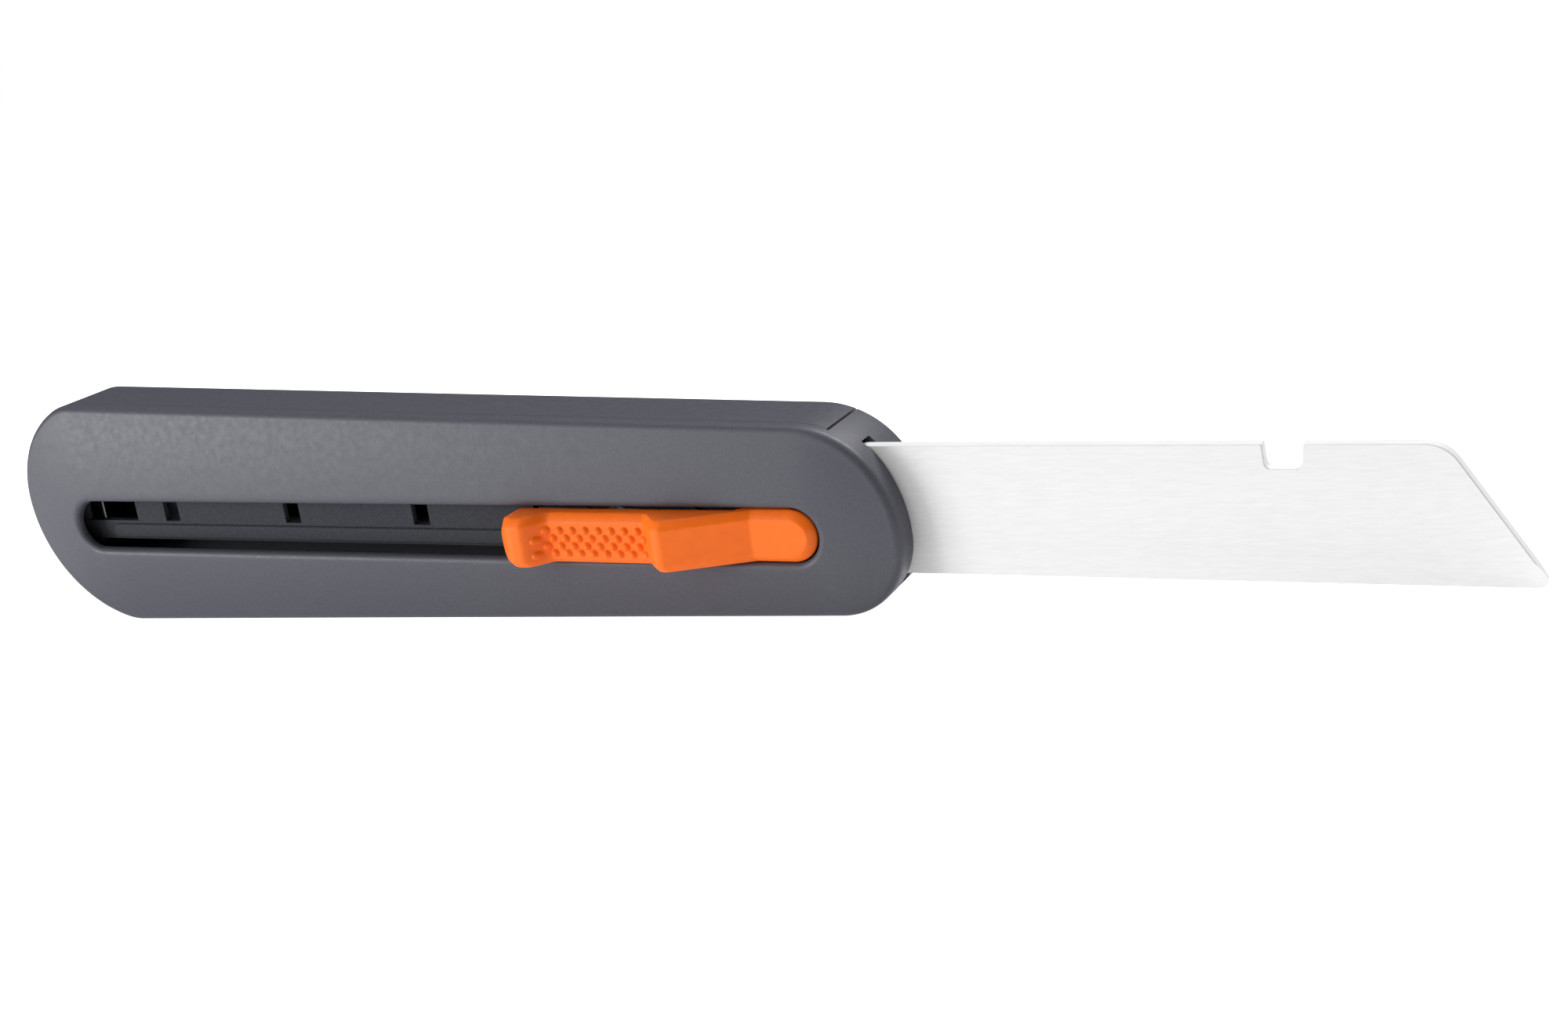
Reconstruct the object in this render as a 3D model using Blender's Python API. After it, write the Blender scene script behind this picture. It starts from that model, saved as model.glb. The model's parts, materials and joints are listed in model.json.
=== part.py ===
"""Utility knife with a long ceramic blade on a slider, built as an assembly.

Every shape is drawn in the knife's own track frame, in millimetres: X runs along the
blade towards its tip, Y runs from the slotted face to the back, and Z runs from the
cutting edge to the spine. The track frame is then tilted so that the handle stands on
its flat lower edge, and moved so that the whole knife is centred over the origin.
"""
import math

import bmesh
import bpy

MM = 0.001
WELD = 1e-7
SHARP_ANGLE = math.radians(35.0)
# How far cutting bodies reach past the shape they cut.
PAST = 5.0
PLAN_MARGIN = 30.0

# ---- handle outline, seen from the slotted face ----
HANDLE_DEPTH = 16.5
REAR_X = -18.0
REAR_Z = 4.1
NOSE_X = 150.85
TOP_Z = 21.19
TOP_SLOPE = -0.0347
BOTTOM_Z = -18.6
BOTTOM_SLOPE = 0.0381
REAR_TOP_RADII = (18.1, 9.0)
REAR_BOTTOM_RADII = (23.1, 10.0)
NOSE_TOP_RADII = (21.0, 15.6)
NOSE_BOTTOM_RADIUS = 11.45
FACE_FILLET = 1.5
BACK_FILLET = 0.9
PILLOW_DROP = 2.2
PILLOW_REACH = 19.0

# ---- shells ----
WALL = 1.8
EDGE_WALL = 0.9
GAP = 0.3
PARTING_Y = 4.5
SEAM_X = 140.5
SEAM_GAP = 0.45
HOLLOW_MARGIN = 0.12
MOUTH_Y = (6.8, 9.7)
MOUTH_Z = (-10.8, 12.9)

# ---- slot and slider ----
SLOT_HALF_HEIGHT = 4.37
SLOT_REAR_X = -1.1
SLOT_LENGTH = 134.0
SLOT_RIM = 1.1
TRAVEL = 89.0
BUTTON_HALF_HEIGHT = 4.08
BUTTON_REAR_X = 84.3
BUTTON_CHAMFER = 1.2
BUTTON_CREST_Y = -6.0
LIP_HEIGHT = 5.5
LIP_X = (81.9, 89.2)
PAD_HEIGHT = 2.4
DIP_X = (90.2, 94.2)
RIDGE_X = (110.4, 114.8)
RAMP_X = (115.4, 127.8)
FRONT_Y = -0.15
BUTTON_FLOOR_Y = 1.0
PIVOT_BOSS_DEPTH = 2.8
BOSS_START_X = (124.6, 127.4)
BOSS_END_X = (133.6, 134.2)
PIVOT_X = 131.0
PIVOT_Y = 3.05
PIVOT_RADIUS = 0.45

# ---- detent track ----
TRACK_Y = (4.6, 5.6)
TRACK_REAR = ((-8.0, -4.0), (-8.0, 11.0), (-6.0, 15.0), (-2.5, 17.5), (3.0, 19.5))
TRACK_REAR_LOW = ((3.0, -14.5), (-3.0, -10.0))
RAIL_Z = (-3.5, -0.92)
RAIL_Y = 4.1
RAIL_FRONT_X = 126.0
TRACK_FRONT_X = 139.4
TRACK_HOLE_RADIUS = 1.0
REAR_POCKET_X = (-7.0, 4.5)
WINDOW_WIDTH = 3.2
WINDOW_Z = (-0.4, 5.4)
DETENT_FIRST_X = 12.5
DETENT_PITCH = 26.4
PASSAGE_Z = (-8.6, -3.75)
PASSAGE_REAR_X = -4.5

# ---- blade ----
BLADE_Y = (7.15, 9.35)
BLADE_TOP_Z = 12.03
BLADE_BEVEL_Z = -4.33
BLADE_EDGE_Z = -8.06
BLADE_TIP_X = 239.6
BLADE_END_X = 97.6
BLADE_SLANT = 13.2
NOTCH_X = (202.66, 208.12)
NOTCH_DEPTH = 3.45
EDGE_LAND = 0.12
BLADE_TIP_RADIUS = 1.2
BLADE_SHOULDER_RADIUS = 5.2
NOTCH_LIP_RADIUS = 0.3
NOTCH_FLOOR_RADIUS = 0.9

# ---- rear hinge of the back cover ----
HINGE_X = -15.8
HINGE_Y = 14.6
HINGE_PIN_RADIUS = 0.75
PIN_FLOOR = 2.0
KNUCKLE_RADIUS = 1.75
POST_X = -13.4
POSTS_Z = ((-3.6, 0.0), (7.2, 10.8))
POST_ROUND = 2.0

# ---- fasteners ----
TRACK_SCREWS = ((8.0, -12.0), (62.0, -11.3), (8.0, 14.5), (100.0, 13.6))
BOSS_RADIUS = 2.0
BOSS_HOLE_RADIUS = 0.9
BOSS_FLOOR_Y = 2.75
BOSS_ROOT = 0.4
CARRIAGE_SCREWS = (104.0, 120.0)
CARRIAGE_SCREW_Z = -6.4
PILOT_RADIUS = 0.8
SMALL_HEAD = 1.5
SMALL_SHAFT = 0.7
TRACK_SHAFT = 0.8
SEAT_GAP = 0.05
CARRIAGE_HEAD_Y = (6.25, 6.78)
CARRIAGE_TIP_Y = 2.9
CARRIAGE_HEAD = 1.6

# ---- carriage between the face and the track plate ----
CARRIAGE_X = (84.0, 136.9)
BAR_FRONT_Y = 2.7
BAR_INNER_Z = 4.45
BAR_OUTER_Z = (-8.8, 7.2)
CROSS_HALF_HEIGHT = 5.0
CROSS_X = ((85.2, 88.6), (135.3, 136.8))
CROSS_Y = (2.75, 3.7)
FLOOR_X = (86.0, 125.0)
FLOOR_Y = 3.8
NECK_TOP_Z = -4.6
NECK_MARGIN = 4.0
DETENT_OPENING = (-3.9, 3.6)
DETENT_OPENING_Z = (0.2, 3.8)
PIN_GAP = 0.1
PIN_HALF_LENGTH = 6.2

# ---- blade holder and clip ----
HOLDER_X = (85.0, 136.9)
HOLDER_Z = (-8.8, 11.8)
HOLDER_CORNER = 1.5
BLOCK_X = (86.0, 95.6)
BLOCK_Z = (0.0, 8.0)
CLIP_SCREW = (90.8, 4.0)
LUG_HALF_LENGTH = 2.3
LUG_Z = (8.95, 11.9)
LUG_Y = (7.1, 9.9)
RIVET_RADIUS = 1.1
RIVET_Z = 10.2

CLIP_SCREW_TIP_Y = 6.4
CLIP_HOLE_RADIUS = 0.9
CLIP_GAP = 0.5
CLIP_THICKNESS = 0.4
CLIP_LINE_X = (86.4, 98.5, 108.0, 111.5)
CLIP_CURL = 0.8
CLIP_SIDE_MARGIN = 0.4

# ---- springs ----
LEAF = 0.25
DETENT_LEAF_Z = (0.6, 3.4)
# Bends of the detent leaf: distance from the middle of the window, and depth.
DETENT_BENDS = ((-4.4, 3.3), (-3.2, 3.5), (-0.5, 4.75), (0.0, 4.85), (0.5, 4.75), (3.2, 3.4),
                (5.0, 3.1), (9.0, 2.7), (13.0, 2.0))
DETENT_LEAF_START = (89.2, 3.3)
RETURN_LEAF_X = (116.5, 124.0)
RETURN_LEAF_Y = 3.3
RETURN_LEAF_RISE = 1.9
RETURN_LEAF_Z = (0.4, 3.6)
PRESSURE_LEAF_X = (112.5, 127.5)
PRESSURE_LEAF_Y = 14.25
PRESSURE_LEAF_BOW = 4.4
PRESSURE_LEAF_FOOT = 1.6
PRESSURE_LEAF_THICKNESS = 0.3
PRESSURE_LEAF_Z = (-2.5, 3.5)

# ---- placing ----
TILT = math.atan(BOTTOM_SLOPE)


# =====================================================================
# Scene and materials
# =====================================================================
def clear_scene():
    for obj in list(bpy.data.objects):
        bpy.data.objects.remove(obj)


def material(name, colour, roughness, metallic=0.0):
    mat = bpy.data.materials.new(name)
    mat.use_nodes = True
    shader = mat.node_tree.nodes["Principled BSDF"]
    shader.inputs["Base Color"].default_value = (*colour, 1.0)
    shader.inputs["Roughness"].default_value = roughness
    shader.inputs["Metallic"].default_value = metallic
    mat.diffuse_color = (*colour, 1.0)
    return mat


def make_materials():
    return {
        "grey": material("shell_grey", (0.19, 0.19, 0.21), 0.6),
        "dark": material("inner_dark", (0.03, 0.03, 0.035), 0.55),
        "orange": material("slider_orange", (0.95, 0.22, 0.04), 0.45),
        "white": material("blade_ceramic", (0.88, 0.88, 0.87), 0.35),
        "steel": material("plain_steel", (0.6, 0.6, 0.62), 0.3, 1.0),
    }


def make_track_frame():
    """Empty that tilts the track frame and centres the knife over the origin."""
    frame = bpy.data.objects.new("track_frame", None)
    bpy.context.scene.collection.objects.link(frame)
    cos_tilt = math.cos(TILT)
    sin_tilt = math.sin(TILT)
    tip_centre_x = BLADE_TIP_X - tip_setback()
    tip_centre_z = BLADE_EDGE_Z + BLADE_TIP_RADIUS
    high_x = tip_centre_x * cos_tilt + tip_centre_z * sin_tilt + BLADE_TIP_RADIUS
    rear_radius = REAR_BOTTOM_RADII[0]
    low_x = (REAR_X + rear_radius) * cos_tilt + REAR_Z * sin_tilt - rear_radius
    frame.rotation_euler = (0.0, TILT, 0.0)
    frame.location = (
        -0.5 * (low_x + high_x) * MM,
        -0.5 * (BUTTON_CREST_Y + HANDLE_DEPTH) * MM,
        -BOTTOM_Z * cos_tilt * MM,
    )
    return frame


def tip_setback():
    """Distance from the blade's sharp lower corner back to its rounding's centre."""
    slant_angle = math.atan2(BLADE_TOP_Z - BLADE_EDGE_Z, BLADE_SLANT)
    return BLADE_TIP_RADIUS / math.tan(0.5 * slant_angle)


# =====================================================================
# Mesh helpers
# =====================================================================
def new_object(name, bm, mat=None, cutter=False, smooth=False):
    bmesh.ops.remove_doubles(bm, verts=bm.verts, dist=WELD)
    bmesh.ops.recalc_face_normals(bm, faces=bm.faces)
    mesh = bpy.data.meshes.new(name)
    bm.to_mesh(mesh)
    bm.free()
    obj = bpy.data.objects.new(name, mesh)
    bpy.context.scene.collection.objects.link(obj)
    obj.parent = bpy.data.objects["track_frame"]
    if mat:
        mesh.materials.append(mat)
    if cutter:
        obj.hide_render = True
        obj.display_type = "WIRE"
    if smooth:
        mesh.shade_smooth()
        mesh.set_sharp_from_angle(angle=SHARP_ANGLE)
    return obj


def move_origin(obj, x, y, z):
    """Put the object's origin at a point of the track frame, leaving its shape in place."""
    shift = (x * MM, y * MM, z * MM)
    for vert in obj.data.vertices:
        vert.co = (vert.co[0] - shift[0], vert.co[1] - shift[1], vert.co[2] - shift[2])
    obj.location = shift


def loft(name, rings, mat=None, cutter=False, smooth=False, crown=None):
    """Closed body through rings whose point 0 and point half lie on the long axis.

    The first ring is closed by a cap that follows crown(x, z), where that is given.
    """
    bm = bmesh.new()
    loops = [[bm.verts.new((x * MM, y * MM, z * MM)) for x, y, z in ring] for ring in rings]
    count = len(loops[0])
    for lower, upper in zip(loops, loops[1:]):
        for i in range(count):
            j = (i + 1) % count
            bm.faces.new((lower[i], lower[j], upper[j], upper[i]))
    if crown:
        crowned_cap(bm, loops[0], crown)
    else:
        ladder_cap(bm, loops[0])
    ladder_cap(bm, loops[-1])
    return new_object(name, bm, mat, cutter, smooth)


def crowned_cap(bm, loop, crown, rungs=10):
    """Close a ring with divided rungs whose depth is crown(x, z), in millimetres."""
    count = len(loop)
    half = count // 2
    columns = [[loop[0]] * (rungs + 1)]
    for i in range(1, half):
        upper = loop[i]
        lower = loop[count - i]
        column = [upper]
        for k in range(1, rungs):
            point = upper.co.lerp(lower.co, k / rungs)
            point.y = crown(point.x / MM, point.z / MM) * MM
            column.append(bm.verts.new(point))
        columns.append(column + [lower])
    columns.append([loop[half]] * (rungs + 1))
    for left, right in zip(columns, columns[1:]):
        for k in range(rungs):
            corners = [left[k], left[k + 1], right[k + 1], right[k]]
            bm.faces.new(list(dict.fromkeys(corners)))


def ladder_cap(bm, loop):
    """Close a ring with rungs between its upper half and its lower half."""
    count = len(loop)
    half = count // 2
    for i in range(half):
        corners = [loop[i], loop[i + 1], loop[(count - i - 1) % count], loop[(count - i) % count]]
        unique = list(dict.fromkeys(corners))
        bm.faces.new(unique)


def prism(name, points, axis, low, high, mat=None, cutter=False, smooth=False):
    """Straight body: points are (y, z), (x, z) or (x, y) for axis x, y or z."""
    bm = bmesh.new()
    loops = []
    for level in (low, high):
        corners = []
        for u, v in points:
            corner = {"x": (level, u, v), "y": (u, level, v), "z": (u, v, level)}[axis]
            corners.append(bm.verts.new([value * MM for value in corner]))
        loops.append(corners)
    count = len(points)
    for i in range(count):
        j = (i + 1) % count
        bm.faces.new((loops[0][i], loops[0][j], loops[1][j], loops[1][i]))
    bm.faces.new(loops[0])
    bm.faces.new(loops[1])
    return new_object(name, bm, mat, cutter, smooth)


def box(name, x, y, z, mat=None, cutter=False):
    corners = ((x[0], z[0]), (x[1], z[0]), (x[1], z[1]), (x[0], z[1]))
    return prism(name, corners, "y", y[0], y[1], mat, cutter)


def turned(name, profile, axis, centre, mat=None, cutter=False, segments=20):
    """Turned body: profile is (distance along the axis, radius), first and last on the axis."""
    bm = bmesh.new()
    rows = []
    for along, radius in profile:
        row = []
        steps = segments if radius > 0.0 else 1
        for k in range(steps):
            angle = 2.0 * math.pi * k / segments
            u = centre[0] + radius * math.cos(angle)
            v = centre[1] + radius * math.sin(angle)
            point = {"x": (along, u, v), "y": (u, along, v), "z": (u, v, along)}[axis]
            row.append(bm.verts.new([value * MM for value in point]))
        rows.append(row)
    for first, second in zip(rows, rows[1:]):
        for k in range(segments):
            j = (k + 1) % segments
            corners = [first[k % len(first)], first[j % len(first)],
                       second[j % len(second)], second[k % len(second)]]
            bm.faces.new(list(dict.fromkeys(corners)))
    return new_object(name, bm, mat, cutter, smooth=not cutter)


def rod(name, axis, centre, radius, low, high, mat=None, cutter=False, segments=20):
    profile = ((low, 0.0), (low, radius), (high, radius), (high, 0.0))
    return turned(name, profile, axis, centre, mat, cutter, segments)


def screw(name, x, z, head_y, tip_y, head_radius, shaft_radius, mat):
    """Pan-headed screw along Y with a round-bottomed drive recess."""
    seat_y, top_y = head_y
    socket_radius = 0.4 * head_radius
    socket_y = top_y - 0.45 * (top_y - seat_y)
    profile = (
        (tip_y, 0.0),
        (tip_y, 0.4 * shaft_radius),
        (tip_y + shaft_radius, shaft_radius),
        (seat_y, shaft_radius),
        (seat_y, head_radius),
        (0.5 * (seat_y + top_y), head_radius),
        (top_y, 0.8 * head_radius),
        (top_y, socket_radius),
        (socket_y, socket_radius),
        (socket_y, 0.0),
    )
    return turned(name, profile, "y", (x, z), mat)


def combine(target, operation, *tools):
    for tool in tools:
        tool.hide_render = True
        tool.display_type = "WIRE"
        modifier = target.modifiers.new(f"{operation.lower()}_{tool.name}", "BOOLEAN")
        modifier.operation = operation
        modifier.object = tool
        modifier.solver = "EXACT"


def ribbon(name, centre_line, thickness, width_z, mat):
    """Bent strip: centre_line is a list of (x, y), the strip is width_z wide."""
    upper = []
    lower = []
    last = len(centre_line) - 1
    for i, (x, y) in enumerate(centre_line):
        before = centre_line[max(i - 1, 0)]
        after = centre_line[min(i + 1, last)]
        along_x = after[0] - before[0]
        along_y = after[1] - before[1]
        length = math.hypot(along_x, along_y)
        side_x = -along_y / length * 0.5 * thickness
        side_y = along_x / length * 0.5 * thickness
        upper.append((x + side_x, y + side_y))
        lower.append((x - side_x, y - side_y))
    return prism(name, upper + lower[::-1], "z", width_z[0], width_z[1], mat)


def rounded(corners, steps=5):
    """Polygon of (u, v, radius) corners with each corner replaced by its arc."""
    points = []
    count = len(corners)
    for i, (u, v, radius) in enumerate(corners):
        if radius == 0.0:
            points.append((u, v))
            continue
        before = corners[i - 1]
        after = corners[(i + 1) % count]
        in_len = math.hypot(u - before[0], v - before[1])
        out_len = math.hypot(after[0] - u, after[1] - v)
        in_dir = ((u - before[0]) / in_len, (v - before[1]) / in_len)
        out_dir = ((after[0] - u) / out_len, (after[1] - v) / out_len)
        cross = in_dir[0] * out_dir[1] - in_dir[1] * out_dir[0]
        turn = math.atan2(cross, in_dir[0] * out_dir[0] + in_dir[1] * out_dir[1])
        setback = radius * math.tan(0.5 * abs(turn))
        side = math.copysign(1.0, turn)
        centre_u = u - in_dir[0] * setback - in_dir[1] * radius * side
        centre_v = v - in_dir[1] * setback + in_dir[0] * radius * side
        start = math.atan2(-in_dir[0] * side, in_dir[1] * side)
        for k in range(steps + 1):
            angle = start + turn * k / steps
            points.append((centre_u + radius * math.cos(angle), centre_v + radius * math.sin(angle)))
    return points


# =====================================================================
# Handle outline
# =====================================================================
def blend_arc(centre, big_radius, small_radius, line_z, slope, above):
    """Small arc inside a big arc that also touches the line z = line_z + slope * x."""
    length = math.hypot(1.0, slope)
    normal = (slope / length, -1.0 / length) if above else (-slope / length, 1.0 / length)
    offset = normal[0] * centre[0] + normal[1] * (centre[1] - line_z)
    normal_angle = math.atan2(normal[1], normal[0])
    reach = math.acos((small_radius - offset) / (big_radius - small_radius))
    return normal_angle, reach


def half_outline(top):
    """Points and outward normals from the rear end to the nose, along the top or bottom."""
    side = 1.0 if top else -1.0
    line_z = TOP_Z if top else BOTTOM_Z
    slope = TOP_SLOPE if top else BOTTOM_SLOPE
    line_angle = math.degrees(math.atan(slope)) * side
    nose_centre = nose_arc_centre()
    rear_radii = REAR_TOP_RADII if top else REAR_BOTTOM_RADII
    nose_radii = NOSE_TOP_RADII if top else (NOSE_BOTTOM_RADIUS, NOSE_BOTTOM_RADIUS)

    arcs = []
    rear_centre = (REAR_X + rear_radii[0], REAR_Z)
    normal_angle, reach = blend_arc(rear_centre, *rear_radii, line_z, slope, top)
    meet = math.degrees(normal_angle - side * reach)
    meet = abs(((meet + 180.0) % 360.0) - 180.0)
    arcs.append((rear_centre, rear_radii[0], 180.0, meet, 9))
    gap = rear_radii[0] - rear_radii[1]
    blend_centre = (rear_centre[0] + gap * math.cos(math.radians(meet)),
                    rear_centre[1] + side * gap * math.sin(math.radians(meet)))
    arcs.append((blend_centre, rear_radii[1], meet, 90.0 + line_angle, 6))

    nose_big = (NOSE_X - nose_radii[0], nose_centre[1])
    if top:
        normal_angle, reach = blend_arc(nose_big, *nose_radii, line_z, slope, top)
        meet = abs(((math.degrees(normal_angle + reach) + 180.0) % 360.0) - 180.0)
        gap = nose_radii[0] - nose_radii[1]
        blend_centre = (nose_big[0] + gap * math.cos(math.radians(meet)),
                        nose_big[1] + gap * math.sin(math.radians(meet)))
        arcs.append((blend_centre, nose_radii[1], 90.0 + line_angle, meet, 9))
        arcs.append((nose_big, nose_radii[0], meet, 0.0, 5))
    else:
        arcs.append((nose_big, nose_radii[0], 90.0 + line_angle, 0.0, 14))

    points = []
    for index, (centre, radius, start, end, steps) in enumerate(arcs):
        if index == 2:
            points.extend(straight_run(points[-1], centre, radius, start, side))
        for k in range(steps + 1):
            if k == 0 and index in (1, 3):
                continue
            angle = math.radians(start + (end - start) * k / steps)
            normal = (math.cos(angle), side * math.sin(angle))
            points.append(((centre[0] + radius * normal[0], centre[1] + radius * normal[1]), normal))
    return points


def nose_arc_centre():
    """Centre of the lower nose arc, which touches the bottom line."""
    centre_x = NOSE_X - NOSE_BOTTOM_RADIUS
    rise = NOSE_BOTTOM_RADIUS * math.hypot(1.0, BOTTOM_SLOPE)
    return centre_x, BOTTOM_Z + BOTTOM_SLOPE * centre_x + rise


def straight_run(last, centre, radius, angle, side, steps=12):
    """Points between the rear arcs and the nose arcs, both ends left out."""
    (start_x, start_z), normal = last
    turn = math.radians(angle)
    end_x = centre[0] + radius * math.cos(turn)
    end_z = centre[1] + side * radius * math.sin(turn)
    run = []
    for k in range(1, steps):
        share = k / steps
        point = (start_x + (end_x - start_x) * share, start_z + (end_z - start_z) * share)
        run.append((point, normal))
    return run


def outline_ring(inset, depth):
    """Handle outline moved inwards by inset, at a depth or at a function of x and z."""
    upper = half_outline(True)
    lower = half_outline(False)
    ring = []
    for (x, z), normal in upper + lower[-2:0:-1]:
        px = x - normal[0] * inset
        pz = z - normal[1] * inset
        ring.append((px, depth(px, pz) if callable(depth) else depth, pz))
    return ring


def outline_distance(x, z):
    """Distance of a point of the face from the handle's outline."""
    upper = [point for point, _ in half_outline(True)]
    lower = [point for point, _ in half_outline(False)]
    loop = upper + lower[-2:0:-1]
    nearest = math.inf
    for (ax, az), (bx, bz) in zip(loop, loop[1:] + loop[:1]):
        step_x = bx - ax
        step_z = bz - az
        share = ((x - ax) * step_x + (z - az) * step_z) / (step_x ** 2 + step_z ** 2)
        share = min(max(share, 0.0), 1.0)
        nearest = min(nearest, math.hypot(x - ax - share * step_x, z - az - share * step_z))
    return nearest


def face_depth(x, z):
    """The pillowed face: how far it falls back towards the outline."""
    share = max(1.0 - outline_distance(x, z) / PILLOW_REACH, 0.0)
    return PILLOW_DROP * share ** 2


def hollow_depth(x, z):
    """Front of the hollow behind the pillowed face."""
    return max(WALL, face_depth(x, z) + EDGE_WALL)


def handle_body(name, mat):
    """The whole outside of the handle, as one solid with rounded edges."""
    rings = []
    edge_drop = PILLOW_DROP * (1.0 - FACE_FILLET / PILLOW_REACH) ** 2
    fillet_steps = 4
    for k in range(fillet_steps + 1):
        angle = 0.5 * math.pi * k / fillet_steps
        inset = FACE_FILLET * (1.0 - math.sin(angle))
        rings.append(outline_ring(inset, edge_drop + FACE_FILLET * (1.0 - math.cos(angle))))
    back_steps = 2
    for k in range(back_steps + 1):
        angle = 0.5 * math.pi * k / back_steps
        inset = BACK_FILLET * (1.0 - math.cos(angle))
        depth = HANDLE_DEPTH - BACK_FILLET * (1.0 - math.sin(angle))
        rings.append(outline_ring(inset, depth))
    return loft(name, rings, mat, smooth=True, crown=face_depth)


def handle_cavity(name):
    """The hollow inside both shells."""
    rings = [outline_ring(WALL, hollow_depth), outline_ring(WALL, HANDLE_DEPTH - WALL)]
    return loft(name, rings, cutter=True, crown=hollow_depth)


def cover_plan(clearance, seam_x):
    """Plan of the back cover's zone, with room for the two hinge posts."""
    margin = PLAN_MARGIN
    post_x = POST_X + clearance
    low_post, high_post = POSTS_Z
    return [
        (seam_x, -margin),
        (seam_x, margin),
        (-margin, margin),
        (-margin, high_post[1] + clearance),
        (post_x, high_post[1] + clearance),
        (post_x, high_post[0] - clearance),
        (-margin, high_post[0] - clearance),
        (-margin, low_post[1] + clearance),
        (post_x, low_post[1] + clearance),
        (post_x, low_post[0] - clearance),
        (-margin, low_post[0] - clearance),
        (-margin, -margin),
    ]


def slot_cutter():
    """Stadium-shaped slot with a rounded rim that follows the pillowed face."""
    levels = [(SLOT_HALF_HEIGHT + SLOT_RIM, -3.0, False)]
    steps = 3
    for k in range(steps + 1):
        angle = 0.5 * math.pi * k / steps
        half = SLOT_HALF_HEIGHT + SLOT_RIM * (1.0 - math.sin(angle))
        levels.append((half, SLOT_RIM * (1.0 - math.cos(angle)), True))
    levels.append((SLOT_HALF_HEIGHT, WALL + 2.0, False))
    rings = []
    for half, y, follows_face in levels:
        ring = []
        for x, z in stadium(SLOT_REAR_X, SLOT_LENGTH, half, 10, 12):
            ring.append((x, y + face_depth(x, z) if follows_face else y, z))
        rings.append(ring)
    return loft("slot_cutter", rings, cutter=True)


def stadium(x_rear, x_front, half_height, arc_steps, line_steps):
    """Rounded bar in the XZ plane, starting at its rear end and running over the top."""
    upper = []
    for k in range(arc_steps + 1):
        angle = math.radians(180.0 - 90.0 * k / arc_steps)
        upper.append((x_rear + half_height * math.cos(angle), half_height * math.sin(angle)))
    for k in range(1, line_steps):
        upper.append((x_rear + (x_front - x_rear) * k / line_steps, half_height))
    for k in range(arc_steps + 1):
        angle = math.radians(90.0 - 90.0 * k / arc_steps)
        upper.append((x_front + half_height * math.cos(angle), half_height * math.sin(angle)))
    lower = [(x, -z) for x, z in upper[-2:0:-1]]
    return upper + lower


# =====================================================================
# Handle pieces
# =====================================================================
def build_front_shell(mats):
    shell = handle_body("front_shell", mats["grey"])
    zone = prism("cover_zone_cutter", cover_plan(0.0, SEAM_X), "y",
                 PARTING_Y - 0.5 * GAP, HANDLE_DEPTH + PAST, cutter=True)
    hollow = handle_cavity("front_hollow_cutter")
    hollow_plan = cover_plan(HOLLOW_MARGIN, SEAM_X - HOLLOW_MARGIN)
    hollow_bound = prism("front_hollow_bound", hollow_plan, "y", -PAST, HANDLE_DEPTH + PAST, cutter=True)
    combine(hollow, "INTERSECT", hollow_bound)
    mouth = box("mouth_cutter", (SEAM_X - PAST, NOSE_X + PAST), MOUTH_Y, MOUTH_Z, cutter=True)
    combine(shell, "DIFFERENCE", zone, hollow, slot_cutter(), mouth)
    top_y = TRACK_Y[0] - GAP
    for index, (x, z) in enumerate(TRACK_SCREWS):
        root_y = hollow_depth(x, z) - BOSS_ROOT
        profile = ((root_y, 0.0), (root_y, BOSS_RADIUS), (top_y, BOSS_RADIUS),
                   (top_y, BOSS_HOLE_RADIUS), (BOSS_FLOOR_Y, BOSS_HOLE_RADIUS), (BOSS_FLOOR_Y, 0.0))
        boss = turned(f"screw_boss_{index + 1}", profile, "y", (x, z), cutter=True)
        combine(shell, "UNION", boss)
    combine(shell, "DIFFERENCE", post_corner_cutter(), hinge_hole("post_pin_hole"))
    return shell


def post_corner_cutter():
    """Rounds the hinge posts about the pin, so that the opening cover swings past them."""
    reach = 2.0 * POST_ROUND
    steps = 12
    corner = []
    for k in range(steps + 1):
        angle = 0.5 * math.pi * k / steps
        corner.append((HINGE_X + POST_ROUND * math.cos(angle), HINGE_Y + POST_ROUND * math.sin(angle)))
    corner.append((HINGE_X, HINGE_Y + reach))
    corner.append((HINGE_X + reach, HINGE_Y + reach))
    corner.append((HINGE_X + reach, HINGE_Y))
    low = POSTS_Z[0][0] - GAP
    high = POSTS_Z[1][1] + GAP
    return prism("post_corner_cutter", corner, "z", low, high, cutter=True)


def hinge_hole(name):
    """Hole for the pin, blind at the lower post and open at the upper one."""
    low = POSTS_Z[0][0] + PIN_FLOOR
    return rod(name, "z", (HINGE_X, HINGE_Y), HINGE_PIN_RADIUS + PIN_GAP, low,
               POSTS_Z[1][1] + PAST, cutter=True)


def build_back_cover(mats):
    cover = handle_body("back_cover", mats["grey"])
    plan = cover_plan(GAP, SEAM_X - SEAM_GAP)
    keep = prism("cover_bound", plan, "y", PARTING_Y + 0.5 * GAP, HANDLE_DEPTH + PAST, cutter=True)
    combine(cover, "INTERSECT", keep)
    combine(cover, "DIFFERENCE", handle_cavity("cover_hollow_cutter"))
    low = POSTS_Z[0][1] + GAP
    high = POSTS_Z[1][0] - GAP
    knuckle = rod("cover_knuckle", "z", (HINGE_X, HINGE_Y), KNUCKLE_RADIUS, low, high, cutter=True)
    combine(cover, "UNION", knuckle)
    combine(cover, "DIFFERENCE", hinge_hole("cover_pin_hole"))
    move_origin(cover, HINGE_X, HINGE_Y, 0.5 * (low + high))
    return cover


def build_hinge_pin(mats):
    low = POSTS_Z[0][0] + PIN_FLOOR + 0.5 * GAP
    high = POSTS_Z[1][1] - GAP
    return rod("cover_hinge_pin", "z", (HINGE_X, HINGE_Y), HINGE_PIN_RADIUS, low, high, mats["steel"])


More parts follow.
